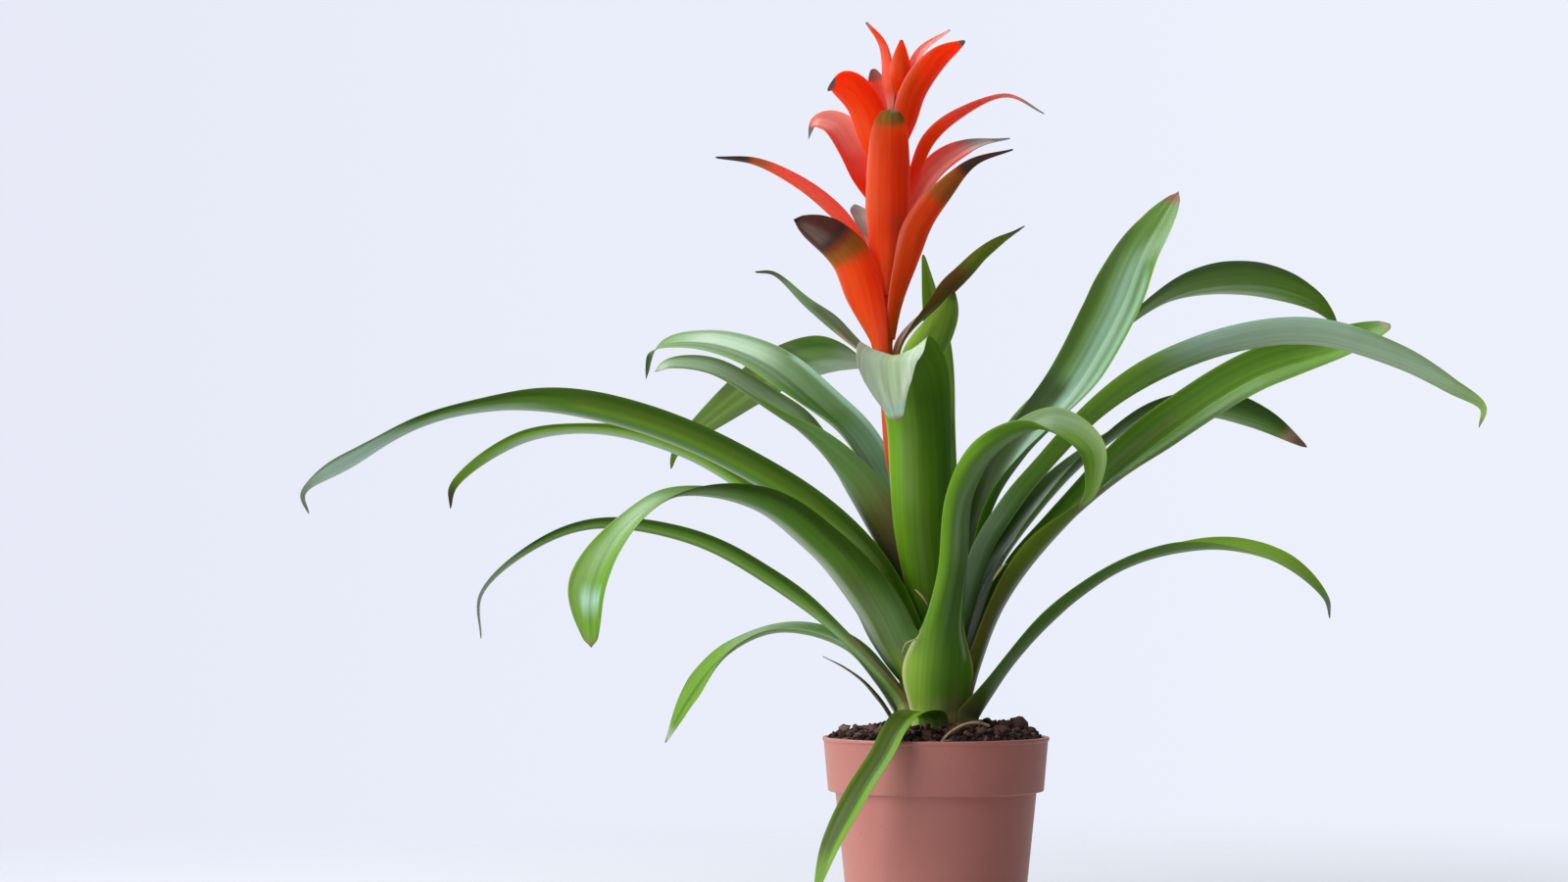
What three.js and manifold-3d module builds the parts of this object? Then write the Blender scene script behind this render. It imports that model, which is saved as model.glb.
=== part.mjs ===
import * as THREE from 'three';
import { mergeVertices } from 'three/addons/utils/BufferGeometryUtils.js';
import Module from 'manifold-3d';

// A flowering bromeliad in a 12 cm nursery pot, in millimetres.
// The origin is the middle of the pot's underside, +Z is up, -Y is the front.
// A heading is an angle round the Z axis: 0 points right, 90 to the back, 180 left and -90 to the front.

// Pot: thin moulded plastic, a straight collar over a tapered wall, standing on a foot ring
const POT_HEIGHT = 108;
const RIM_RADIUS = 60;
const LIP_HEIGHT = 2.2;
const COLLAR_RADIUS = 58.6;
const COLLAR_HEIGHT = 28.5;
const COLLAR_FOOT_RADIUS = 57.5;
const BODY_TOP_RADIUS = 53.2;
const POT_FOOT_RADIUS = 45;
const POT_WALL = 1.5;
const FLOOR_RECESS = 2;
const FOOT_RING_INNER_RADIUS = 39;
const CENTRE_PAD_RADIUS = 9;
const DRAIN_HOLES = 8;
const DRAIN_RADIUS = 4.5;
const DRAIN_CIRCLE = 30;

// Soil: a plug that fills the pot, with lumps of peat on top
const GAP = 0.3;
const SOIL_EDGE_HEIGHT = 105.5;
const SOIL_MIDDLE_HEIGHT = 114;
const SOIL_LUMPS = 34;
const LUMP_RING = { inner: 34, outer: 50.5 };
const LUMP_RADIUS = { least: 2.2, most: 4.8 };
const TALLEST_LUMP = { x: 44, y: 12, z: 111, radius: 6 };

// Short stock that the leaves grow from, and the leaning flower stem above it
const STOCK_DEPTH = 22;
const STOCK_SHOULDER = 113.5;
const STOCK_TOP = 153;
const STEM_ROUTE = [
  [0, 0, 140], [-1, 0, 165], [-6, 1, 192], [-15, 2, 225], [-22, 2, 253], [-25, 0, 285],
  [-26.5, -1, 313], [-25.5, -1.5, 345], [-24, -1.5, 385], [-21, -1, 430], [-18, -1, 466],
];
const STEM_RADIUS = [[140, 4.8], [300, 4], [400, 3], [466, 1.6]];
const STEM_RINGS = 26;
const STEM_SIDES = 10;

// Leaves, numbered from the outside of the rosette inwards, each a strap with a clasping sheath
const LEAF_THICKNESS = 0.8;
const FIRST_FOOT = { radius: 24, height: 114 };
const FOOT_STEP = { radius: -0.86, height: 1.9 };
const LEAF_CLEARANCE = LEAF_THICKNESS / 2 + 0.35;
const LEAF_STATIONS = 20;
const LEAF_ACROSS = 4;
const SHEATH_START = 0.1;
const SHEATH_END = 0.4;
const SHEATH_FLARE = 30;
const FLARE_END = 0.3;
const TIGHTEST_CURL = 2.8;
const TIP_WIDTH = 1.6;
const TIP_POWER = 1.6;
const KEEL_DROP = 0.6;
// heading and foot are the directions of the blade and of its foot, in degrees;
// route points are [distance from the axis, height, sideways shift] from foot to tip;
// sheath is the width at the foot and blade the width further out, or widths all along as a list of
// [fraction of the length, value]; cup is the hollow's radius and roll its turn, as a number or such a list;
// taper is where the tip starts and blunt the power of its curve;
// footRank moves a foot up or down the stock, and stemFoot puts it on the flower stem at that height
const LEAVES = [
  { name: 'leaf_01_over_rim', heading: -120, foot: -95, sheath: 16, blade: 13.5, cup: 14, taper: 0.45,
    route: [[25, 119, 11], [34, 122, 11], [50, 121, 10], [62, 114, 9], [74, 102, 8], [89, 83, 2],
      [102, 56, -7], [109, 32, -12]] },
  { name: 'leaf_02_dry', heading: 168, sheath: 8, blade: 4, cup: 10, taper: 0.4,
    route: [[29, 125], [38, 136], [49, 144], [61, 150]] },
  { name: 'leaf_03_low_right', heading: -12, sheath: 28, blade: 21, cup: 13, taper: 0.5,
    route: [[26, 124], [43, 149], [73, 179], [108, 201], [148, 211], [184, 203], [205, 183], [207, 172]],
    roll: [[0.2, 0], [0.6, 0], [0.85, 30]] },
  { name: 'leaf_04_low_back_left', heading: 152, sheath: 26, blade: 25, cup: 18, taper: 0.4,
    route: [[31, 134], [49, 153], [71, 163], [98, 164], [128, 151], [149, 128], [165, 101]],
    roll: [[0.2, 0], [0.5, -12], [0.8, -30]] },
  { name: 'leaf_05_low_back', heading: 92, sheath: 30, blade: 30, cup: 20, taper: 0.4,
    route: [[26, 134], [52, 165], [90, 190], [135, 196], [178, 182], [206, 152]] },
  { name: 'leaf_06_low_left', heading: -176, sheath: 30, blade: 24, cup: 11, taper: 0.3,
    route: [[24, 131], [49, 160], [87, 194], [129, 214], [180, 220], [213, 208], [240, 183], [240, 160]],
    roll: [[0.2, 0], [0.4, 15], [1, 20]] },
  { name: 'leaf_07_front_right', heading: -60, foot: -88, footRank: 3.8, cup: 10, taper: 0.62,
    blade: [[0, 28], [0.05, 44], [0.12, 44], [0.18, 30], [0.3, 20], [0.45, 21], [0.6, 30]],
    route: [[23, 139, -12], [26, 163, -11], [31, 195, -8], [40, 235, -9], [61, 262, -4], [88, 273, 10],
      [110, 258, 24], [110, 237, 24], [105, 227, 20]],
    roll: [[0.4, 0], [0.6, 20], [1, 30]] },
  { name: 'leaf_08_right', heading: 2, sheath: 34, blade: 33, cup: [[0.2, 10], [0.7, 26]], taper: 0.84,
    blunt: 2.6,
    route: [[23, 148], [32, 179], [51, 212], [85, 243], [127, 274], [171, 301], [216, 315], [243, 324]],
    roll: [[0.3, 0], [0.55, 45], [0.8, 45], [1, 20]] },
  { name: 'leaf_09_behind_left', heading: 160, sheath: 30, blade: 22, cup: 10, taper: 0.3,
    route: [[22, 148], [36, 174], [58, 199], [97, 234], [142, 260], [190, 273], [240, 271], [281, 244],
      [283, 230]],
    roll: [[0.2, 0], [0.4, 20], [1, 30]] },
  { name: 'leaf_10_behind_right', heading: 35, sheath: 24, blade: 29, cup: [[0.2, 10], [0.6, 18]],
    taper: 0.72,
    route: [[18, 150], [28, 182, 1], [45, 209, 1], [72, 236], [100, 258], [143, 281], [192, 288],
      [231, 281], [267, 266]],
    roll: [[0.3, 0], [0.6, -25], [1, -40]] },
  { name: 'leaf_11_front_left', heading: -152, sheath: 40, blade: 36, cup: [[0.5, 14], [0.75, 26]],
    taper: 0.7,
    route: [[16, 145], [20, 159], [31, 175], [63, 207], [106, 233], [156, 237], [189, 217], [205, 189],
      [201, 157]],
    roll: [[0.15, 0], [0.4, 10], [0.6, 0], [0.8, -20], [1, -20]] },
  { name: 'leaf_12_back', heading: 94, sheath: 22, blade: 30, cup: 20, taper: 0.4,
    route: [[16.5, 155], [22, 178], [33, 206], [64, 246], [110, 272], [160, 266], [198, 236]] },
  { name: 'leaf_13_long_left', heading: 177, sheath: 34, blade: 34, cup: 13, taper: 0.3,
    route: [[15, 158], [27, 190], [49, 215], [107, 255], [160, 277], [205, 288], [246, 284], [307, 258],
      [338, 237], [335, 226]],
    roll: [[0.1, 0], [0.3, 25], [0.7, 25], [1, 45]] },
  { name: 'leaf_14_long_right', heading: -14, sheath: 32, blade: 30, cup: [[0.2, 11], [0.6, 18]],
    taper: 0.68, blunt: 2.4,
    route: [[17, 160], [22, 185], [29, 208], [37, 224], [49, 243], [80, 275], [115, 299], [159, 315],
      [201, 318], [243, 305], [270, 290], [286, 279], [284, 269]],
    roll: [[0.2, 0], [0.3, 10], [0.5, -20], [1, -35]] },
  { name: 'leaf_15_left', heading: 175, foot: 158, cup: [[0.2, 14], [0.35, 18], [0.6, 15]],
    blade: [[0, 18], [0.18, 18], [0.3, 34], [0.5, 35]], taper: 0.55,
    route: [[13, 180, -3], [21, 203, -2], [38, 237, 1], [61, 268, 3], [90, 289], [119, 306], [142, 308],
      [150, 302]],
    roll: [[0.1, 0], [0.25, 40], [0.45, 35], [0.65, -15], [1, -35]] },
  { name: 'leaf_16_back_right', heading: 46, sheath: 24, blade: 31, cup: [[0.2, 12], [0.6, 20]],
    taper: 0.7, blunt: 2.2,
    route: [[17, 185, 4], [25, 205, 6], [36, 225, 6], [48, 245, 5], [67, 271], [90, 292], [144, 325],
      [208, 356], [281, 365], [341, 356], [364, 344]],
    roll: [[0.3, 0], [0.5, -35], [1, -50]] },
  { name: 'leaf_17_front', heading: -92, foot: -98, sheath: 23, blade: 42, cup: [[0.6, 22], [0.8, 40]],
    taper: 0.79, blunt: 1.1,
    route: [[13, 187, -4], [15, 217, -7], [17, 248, -8], [20, 275, -9], [27, 299, -13], [37, 311, -20],
      [46, 306, -23], [51, 292, -22], [53, 273, -20]] },
  { name: 'leaf_18_upper_left', heading: 130, sheath: 18, blade: 32, cup: [[0.25, 14], [0.6, 20]],
    taper: 0.5,
    route: [[10, 180], [18, 199], [32, 228], [62, 268], [96, 291], [147, 318], [204, 330], [243, 325],
      [250, 308]],
    roll: [[0.4, 0], [0.6, -30], [1, -35]] },
  { name: 'leaf_19_upright_right', heading: 16, sheath: 18, blade: 41, cup: [[0.25, 10], [0.6, 32]],
    taper: 0.68,
    route: [[11, 175], [16, 195], [22, 211], [32, 240], [45, 260], [60, 277], [80, 300], [100, 334],
      [115, 366], [127, 384], [139, 401]],
    roll: [[0.3, 0], [0.6, 30], [1, 30]] },
  { name: 'leaf_20_upright_back', heading: 80, foot: 60, stemFoot: 158, sheath: 9, blade: 19, cup: 30,
    taper: 0.6,
    route: [[8, 180, -4], [13, 205, -3], [22, 240, 0], [34, 275, 3], [46, 318, 5], [55, 350, 11],
      [62, 369, 15]] },
  { name: 'leaf_21_upper_back_left', heading: 121, foot: 95, stemFoot: 170, sheath: 9, blade: 30, cup: 30,
    taper: 0.5,
    route: [[8, 190, -3], [11, 215, -6], [14, 243, -7], [21, 275, -3], [52, 304, 0], [96, 315],
      [153, 311], [224, 290], [282, 265], [287, 256]],
    roll: [[0.3, 0], [0.5, 40], [1, 45]] },
];

// Bracts of the flower head, from the bottom up, each clasping the stem at its foot height
const BRACT_THICKNESS = 0.7;
const BRACT_STATIONS = 10;
const BRACT_ACROSS = 4;
const BRACT_CLEARANCE = BRACT_THICKNESS / 2 + 0.6;
const CLASP_END = 0.5;
// clasp is the width at the foot and width the widest; route and roll are as for a leaf
const BRACTS = [
  { name: 'bract_01_green_right', heading: -22, foot: 283, clasp: 9, width: 30, cup: 15, taper: 0.55,
    route: [[9, 296], [20, 309], [28, 320], [34, 331], [37, 343]],
    roll: [[0.1, 0], [0.4, -20]] },
  { name: 'bract_02_green_left', heading: 172, foot: 291, clasp: 9, width: 13, cup: 7, taper: 0.4,
    route: [[9, 306], [22, 321], [43, 338], [61, 354], [71, 355]],
    roll: [[0.2, 0], [0.5, 30]] },
  { name: 'bract_03_brown_right', heading: 18, foot: 297, clasp: 8, width: 17, cup: 9, taper: 0.5,
    route: [[9, 317], [28, 340], [42, 353], [56, 366], [79, 381]],
    roll: [[0.2, 0], [0.5, -30]] },
  { name: 'bract_04_dark_tip_left', heading: -155, foot: 304, clasp: 15, width: 27, cup: 13, taper: 0.6,
    route: [[8.5, 322], [14, 343], [21, 360], [33, 371], [49, 379], [54, 380]],
    roll: [[0.1, 0], [0.4, 45]] },
  { name: 'bract_05_back', heading: 80, foot: 311, clasp: 6, width: 20, cup: 12, taper: 0.5,
    route: [[8, 335], [16, 360], [26, 385]] },
  { name: 'bract_06_front_right', heading: -25, foot: 318, clasp: 13, width: 21, cup: 10, taper: 0.5,
    route: [[8, 335], [12, 354], [19, 377], [33, 395], [50, 410], [73, 416]],
    roll: [[0.1, 0], [0.4, -35]] },
  { name: 'bract_07_long_left', heading: -173, foot: 327, clasp: 6, width: 15, cup: 7, taper: 0.4,
    route: [[6, 348], [16, 373], [33, 391], [50, 403], [70, 412], [91, 414]],
    roll: [[0.2, 0], [0.5, 30]] },
  { name: 'bract_08_grey_tip', heading: 112, foot: 334, clasp: 5, width: 11, cup: 9, taper: 0.5,
    route: [[7, 350], [15, 366], [28, 382], [42, 394]] },
  { name: 'bract_09_front', heading: -88, foot: 341, clasp: 7, width: 24, cup: 12, taper: 0.75,
    route: [[6, 360], [8, 378], [13, 398], [22, 424], [30, 437]] },
  { name: 'bract_10_pink_right', heading: 25, foot: 352, clasp: 8, width: 16, cup: 9, taper: 0.5,
    route: [[8, 371], [15, 390], [29, 411], [50, 424], [74, 429]],
    roll: [[0.1, 0], [0.4, 30]] },
  { name: 'bract_11_long_right', heading: -8, foot: 363, clasp: 7, width: 13, cup: 6, taper: 0.3,
    route: [[8, 385], [14, 405], [22, 424], [37, 437], [63, 447], [83, 437]],
    roll: [[0.1, 0], [0.4, -25]] },
  { name: 'bract_12_pink_left', heading: 158, foot: 372, clasp: 9, width: 26, cup: 13, taper: 0.5,
    route: [[5, 382], [10, 395], [20, 419], [31, 434], [44, 432]],
    roll: [[0.1, 0], [0.4, -35]] },
  { name: 'bract_13_upper_back', heading: 85, foot: 388, clasp: 5, width: 13, cup: 10, taper: 0.5,
    route: [[7, 404], [14, 425], [20, 445]] },
  { name: 'bract_14_upper_left', heading: -145, foot: 390, clasp: 9, width: 23, cup: 12, taper: 0.65,
    route: [[5, 413], [10, 426], [19, 446], [33, 456], [41, 451]],
    roll: [[0.1, 0], [0.4, 40]] },
  { name: 'bract_15_upper_right', heading: -15, foot: 401, clasp: 7, width: 18, cup: 9, taper: 0.5,
    route: [[6, 423], [13, 450], [26, 467], [40, 476]],
    roll: [[0.1, 0], [0.4, -35]] },
  { name: 'bract_16_small_pink', heading: 160, foot: 411, clasp: 6, width: 11, cup: 8, taper: 0.5,
    route: [[4, 440], [8, 463]] },
  { name: 'bract_17_top_back', heading: 55, foot: 420, clasp: 5, width: 14, cup: 8, taper: 0.5,
    route: [[6, 440], [10, 464]] },
  { name: 'bract_18_top_left', heading: -168, foot: 429, clasp: 6, width: 9, cup: 5, taper: 0.4,
    route: [[4, 450], [7, 475], [16, 487]],
    roll: [[0.1, 0], [0.4, 30]] },
  { name: 'bract_19_top_right', heading: 8, foot: 437, clasp: 5, width: 8, cup: 5, taper: 0.4,
    route: [[6, 453], [13, 472], [29, 484]] },
  { name: 'bract_20_top_front', heading: -75, foot: 445, clasp: 4, width: 12, cup: 7, taper: 0.5,
    route: [[5, 458], [7, 477]] },
];

const radians = THREE.MathUtils.degToRad;
const smoothstep = THREE.MathUtils.smoothstep;

const wasm = await Module();
wasm.setup();

function solidOf(geometry) {
  const bare = geometry.clone();
  bare.deleteAttribute('normal');
  bare.deleteAttribute('uv');
  const merged = mergeVertices(bare);
  const mesh = new wasm.Mesh({
    numProp: 3,
    vertProperties: Float32Array.from(merged.attributes.position.array),
    triVerts: Uint32Array.from(merged.index.array),
  });
  return new wasm.Manifold(mesh);
}

function geometryOf(solid) {
  const mesh = solid.getMesh();
  const geometry = new THREE.BufferGeometry();
  geometry.setAttribute('position', new THREE.BufferAttribute(Float32Array.from(mesh.vertProperties), 3));
  geometry.setIndex(new THREE.BufferAttribute(Uint32Array.from(mesh.triVerts), 1));
  geometry.computeVertexNormals();
  return geometry;
}

function seededRandom(seed) {
  let state = seed;
  return () => {
    state = (state * 1664525 + 1013904223) % 4294967296;
    return state / 4294967296;
  };
}

// Value of a [place, value] list at a place, straight between its points
function valueAt(list, place) {
  const last = list.length - 1;
  if (place <= list[0][0]) return list[0][1];
  if (place >= list[last][0]) return list[last][1];
  const next = list.findIndex(([at]) => at > place);
  const [a, from] = list[next - 1];
  const [b, to] = list[next];
  return from + (to - from) * (place - a) / (b - a);
}

function amountAt(amount, place) {
  return Array.isArray(amount) ? valueAt(amount, place) : amount;
}

function lathe(profile, sides) {
  const geometry = new THREE.LatheGeometry(profile.map(([r, z]) => new THREE.Vector2(r, z)), sides);
  geometry.rotateX(Math.PI / 2);
  return geometry;
}

function wallRadius(height) {
  return THREE.MathUtils.mapLinear(height, 0, POT_HEIGHT - COLLAR_HEIGHT, POT_FOOT_RADIUS, BODY_TOP_RADIUS);
}

function potGeometry() {
  const collarFoot = POT_HEIGHT - COLLAR_HEIGHT;
  const floorTop = FLOOR_RECESS + POT_WALL;
  const profile = [
    [0, 0], [CENTRE_PAD_RADIUS, 0], [CENTRE_PAD_RADIUS + 1, FLOOR_RECESS],
    [FOOT_RING_INNER_RADIUS - 1, FLOOR_RECESS], [FOOT_RING_INNER_RADIUS, 0],
    [POT_FOOT_RADIUS - 0.8, 0], [POT_FOOT_RADIUS, 0.8],
    [BODY_TOP_RADIUS, collarFoot - 0.6], [COLLAR_FOOT_RADIUS - 1, collarFoot],
    [COLLAR_FOOT_RADIUS, collarFoot + 1], [COLLAR_RADIUS, POT_HEIGHT - LIP_HEIGHT],
    [RIM_RADIUS, POT_HEIGHT - LIP_HEIGHT + 0.5], [RIM_RADIUS, POT_HEIGHT - 0.5],
    [RIM_RADIUS - 0.6, POT_HEIGHT],
    [COLLAR_RADIUS - POT_WALL, POT_HEIGHT], [COLLAR_FOOT_RADIUS - POT_WALL, collarFoot + POT_WALL],
    [BODY_TOP_RADIUS - POT_WALL, collarFoot + 0.6],
    [wallRadius(floorTop) - POT_WALL, floorTop], [0, floorTop],
  ];
  let pot = solidOf(lathe(profile, 40));
  for (let i = 0; i < DRAIN_HOLES; i += 1) {
    const hole = new THREE.CylinderGeometry(DRAIN_RADIUS, DRAIN_RADIUS, 12, 10);
    hole.rotateX(Math.PI / 2);
    const turn = (i + 0.5) / DRAIN_HOLES * 2 * Math.PI;
    hole.translate(DRAIN_CIRCLE * Math.cos(turn), DRAIN_CIRCLE * Math.sin(turn), floorTop / 2);
    pot = pot.subtract(solidOf(hole));
  }
  return geometryOf(pot);
}

function soilHeight(radius) {
  return SOIL_MIDDLE_HEIGHT + (SOIL_EDGE_HEIGHT - SOIL_MIDDLE_HEIGHT) * (radius / COLLAR_RADIUS) ** 2;
}

function soilGeometry() {
  const collarFoot = POT_HEIGHT - COLLAR_HEIGHT;
  const bottom = FLOOR_RECESS + POT_WALL + GAP;
  const inset = POT_WALL + GAP;
  const topRadius = THREE.MathUtils.mapLinear(SOIL_EDGE_HEIGHT, collarFoot, POT_HEIGHT,
    COLLAR_FOOT_RADIUS, COLLAR_RADIUS) - inset - 0.1;
  let soil = solidOf(lathe([
    [0, bottom], [wallRadius(bottom) - inset, bottom], [BODY_TOP_RADIUS - inset - 0.1, collarFoot + 1],
    [COLLAR_FOOT_RADIUS - inset - 0.2, collarFoot + inset + 0.3], [topRadius, SOIL_EDGE_HEIGHT],
    [40, soilHeight(40)], [0, SOIL_MIDDLE_HEIGHT],
  ], 32));
  const random = seededRandom(11);
  const lumps = [TALLEST_LUMP];
  for (let i = 0; i < SOIL_LUMPS; i += 1) {
    const distance = LUMP_RING.inner + (LUMP_RING.outer - LUMP_RING.inner) * random();
    const turn = 2 * Math.PI * (i + 0.6 * random()) / SOIL_LUMPS;
    const radius = LUMP_RADIUS.least + (LUMP_RADIUS.most - LUMP_RADIUS.least) * random();
    lumps.push({
      x: distance * Math.cos(turn), y: distance * Math.sin(turn),
      z: soilHeight(distance) + radius * (0.1 + 0.35 * random()), radius,
    });
  }
  for (const lump of lumps) {
    const ball = new THREE.IcosahedronGeometry(lump.radius, 0);
    ball.rotateX(3 * random());
    ball.rotateY(3 * random());
    ball.scale(1, 0.85, 0.8);
    ball.translate(lump.x, lump.y, lump.z);
    soil = soil.add(solidOf(ball));
  }
  const holeRadius = footOf(0).radius - LEAF_CLEARANCE + GAP;
  const hole = new THREE.CylinderGeometry(holeRadius, holeRadius, 60, 24);
  hole.rotateX(Math.PI / 2);
  hole.translate(0, 0, STOCK_SHOULDER - STOCK_DEPTH - GAP + 30);
  return geometryOf(soil.subtract(solidOf(hole)));
}

function footOf(rank) {
  return {
    radius: FIRST_FOOT.radius + rank * FOOT_STEP.radius,
    height: FIRST_FOOT.height + rank * FOOT_STEP.height,
  };
}

const stemPoints = STEM_ROUTE.map((p) => new THREE.Vector3(...p));
const stemCurve = new THREE.CatmullRomCurve3(stemPoints, false, 'centripetal');

function stemCentre(height) {
  const points = stemCurve.getPoints(200);
  const above = Math.max(1, points.findIndex((p) => p.z >= height));
  const [a, b] = [points[above - 1], points[above]];
  return a.clone().lerp(b, (height - a.z) / (b.z - a.z));
}

function stemGeometry() {
  const first = footOf(0);
  const last = footOf(LEAVES.filter((leaf) => !leaf.stemFoot).length);
  const stock = solidOf(lathe([
    [0, STOCK_SHOULDER - STOCK_DEPTH], [first.radius - LEAF_CLEARANCE, STOCK_SHOULDER - STOCK_DEPTH],
    [first.radius - LEAF_CLEARANCE, STOCK_SHOULDER],
    [last.radius - LEAF_CLEARANCE, last.height], [3, STOCK_TOP], [0, STOCK_TOP],
  ], 24));
  const rings = STEM_RINGS;
  const sides = STEM_SIDES;
  const positions = [];
  const faces = [];
  for (let i = 0; i <= rings; i += 1) {
    const centre = stemCurve.getPointAt(i / rings);
    const radius = valueAt(STEM_RADIUS, centre.z);
    for (let j = 0; j < sides; j += 1) {
      const turn = 2 * Math.PI * j / sides;
      positions.push(centre.x + radius * Math.cos(turn), centre.y + radius * Math.sin(turn), centre.z);
    }
  }
  for (let i = 0; i < rings; i += 1) {
    for (let j = 0; j < sides; j += 1) {
      const a = i * sides + j;
      const b = i * sides + (j + 1) % sides;
      faces.push(a, b, b + sides, a, b + sides, a + sides);
    }
  }
  for (let j = 1; j < sides - 1; j += 1) {
    const top = rings * sides;
    faces.push(0, j + 1, j, top, top + j, top + j + 1);
  }
  const stem = new THREE.BufferGeometry();
  stem.setAttribute('position', new THREE.Float32BufferAttribute(positions, 3));
  stem.setIndex(faces);
  return geometryOf(stock.add(solidOf(stem)));
}

// A thin curved blade along a midline: at each station the section is an arc that hollows towards
// the plant's axis, so near the foot it clasps what it grows from, and further out it is a shallow channel
function bladeGeometry({ midline, headingAt, widthAt, rollAt, hollowAt, thickness, stations, across }) {
  const curve = new THREE.CatmullRomCurve3(midline, false, 'centripetal');
  const positions = [];
  const faces = [];
  const row = across + 1;
  for (let i = 0; i <= stations; i += 1) {
    const t = i / stations;
    const centre = curve.getPointAt(t);
    const along = curve.getTangentAt(t);
    const turn = radians(headingAt(t));
    const side = new THREE.Vector3(-Math.sin(turn), Math.cos(turn), 0);
    side.addScaledVector(along, -side.dot(along)).normalize();
    side.applyAxisAngle(along, radians(rollAt(t)));
    const inner = along.clone().cross(side);
    const width = widthAt(t);
    const hollow = Math.max(hollowAt(t), width / TIGHTEST_CURL);
    const depth = hollow * (1 - Math.cos(width / 2 / hollow));
    const keel = depth * KEEL_DROP * smoothstep(t, SHEATH_START, SHEATH_END);
    for (const face of [1, -1]) {
      for (let j = 0; j <= across; j += 1) {
        const angle = width * (j / across - 0.5) / hollow;
        const distance = hollow - face * thickness / 2;
        const point = centre.clone().addScaledVector(side, distance * Math.sin(angle))
          .addScaledVector(inner, hollow - distance * Math.cos(angle) - keel);
        positions.push(point.x, point.y, point.z);
      }
    }
  }
  const cell = 2 * row;
  for (let i = 0; i < stations; i += 1) {
    const base = i * cell;
    for (let j = 0; j < across; j += 1) {
      const a = base + j;
      faces.push(a, a + cell, a + 1, a + 1, a + cell, a + cell + 1);
      const b = a + row;
      faces.push(b, b + 1, b + cell, b + 1, b + cell + 1, b + cell);
    }
    const l = base;
    faces.push(l, l + row, l + cell, l + row, l + row + cell, l + cell);
    const r = base + across;
    faces.push(r, r + cell, r + row, r + row, r + cell, r + row + cell);
  }
  const end = stations * cell;
  for (let j = 0; j < across; j += 1) {
    faces.push(j, j + 1, j + row, j + 1, j + 1 + row, j + row);
    faces.push(end + j, end + j + row, end + j + 1, end + j + 1, end + j + row, end + j + 1 + row);
  }
  const geometry = new THREE.BufferGeometry();
  geometry.setAttribute('position', new THREE.Float32BufferAttribute(positions, 3));
  geometry.setIndex(faces);
  return geometryOf(solidOf(geometry));
}

function pointAt(centre, heading, reach, height, shift = 0) {
  const turn = radians(heading);
  return new THREE.Vector3(
    centre.x + reach * Math.cos(turn) - shift * Math.sin(turn),
    centre.y + reach * Math.sin(turn) + shift * Math.cos(turn),
    height,
  );
}

// Full width until the taper starts, then narrowing in a curve to the tip
function taperedWidth(width, taper, t, blunt = TIP_POWER) {
  if (t <= taper) return width;
  return TIP_WIDTH + (width - TIP_WIDTH) * (1 - ((t - taper) / (1 - taper)) ** blunt);
}

function leafWidth(leaf, t) {
  if (Array.isArray(leaf.blade)) return valueAt(leaf.blade, t);
  return leaf.sheath + (leaf.blade - leaf.sheath) * smoothstep(t, SHEATH_START, SHEATH_END);
}

function softMinimum(a, b) {
  return a * b / Math.hypot(a * a, b * b) ** 0.5;
}

function leafGeometry(leaf, rank) {
  const axis = { x: 0, y: 0 };
  const footHeading = leaf.foot ?? leaf.heading;
  const foot = leaf.stemFoot
    ? { radius: valueAt(STEM_RADIUS, leaf.stemFoot) + LEAF_CLEARANCE, height: leaf.stemFoot }
    : footOf(leaf.footRank ?? rank);
  const footCentre = leaf.stemFoot ? stemCentre(leaf.stemFoot) : axis;
  const midline = [pointAt(footCentre, footHeading, foot.radius, foot.height)];
  for (const point of leaf.route) midline.push(pointAt(axis, leaf.heading, ...point));
  const reachAlong = new THREE.CatmullRomCurve3(midline, false, 'centripetal');
  return bladeGeometry({
    midline,
    headingAt: (t) => footHeading + (leaf.heading - footHeading) * smoothstep(t, 0, SHEATH_END),
    widthAt: (t) => {
      const point = reachAlong.getPointAt(t);
      const width = taperedWidth(leafWidth(leaf, t), leaf.taper, t, leaf.blunt);
      return Math.min(width, 2 * Math.hypot(point.x, point.y));
    },
    rollAt: (t) => valueAt(leaf.roll ?? [[0, 0]], t),
    hollowAt: (t) => {
      const point = reachAlong.getPointAt(t);
      const cup = amountAt(leaf.cup, t) + SHEATH_FLARE * (1 - smoothstep(t, 0, FLARE_END));
      return softMinimum(Math.hypot(point.x, point.y), cup);
    },
    thickness: LEAF_THICKNESS,
    stations: LEAF_STATIONS,
    across: LEAF_ACROSS,
  });
}

function bractGeometry(bract) {
  const centre = stemCentre(bract.foot);
  const footRadius = valueAt(STEM_RADIUS, bract.foot) + BRACT_CLEARANCE;
  const midline = [pointAt(centre, bract.heading, footRadius, bract.foot)];
  for (const [reach, height] of bract.route) midline.push(pointAt(centre, bract.heading, reach, height));
  return bladeGeometry({
    midline,
    headingAt: () => bract.heading,
    widthAt: (t) => {
      const width = bract.clasp + (bract.width - bract.clasp) * smoothstep(t, 0, CLASP_END);
      return taperedWidth(width, bract.taper, t);
    },
    rollAt: (t) => valueAt(bract.roll ?? [[0, 0]], t),
    hollowAt: (t) => footRadius + (bract.cup - footRadius) * smoothstep(t, 0, FLARE_END),
    thickness: BRACT_THICKNESS,
    stations: BRACT_STATIONS,
    across: BRACT_ACROSS,
  });
}

function piece(name, geometry, color, roughness) {
  const material = new THREE.MeshStandardMaterial({ color, roughness, metalness: 0 });
  const mesh = new THREE.Mesh(geometry, material);
  mesh.name = name;
  return mesh;
}

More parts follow.
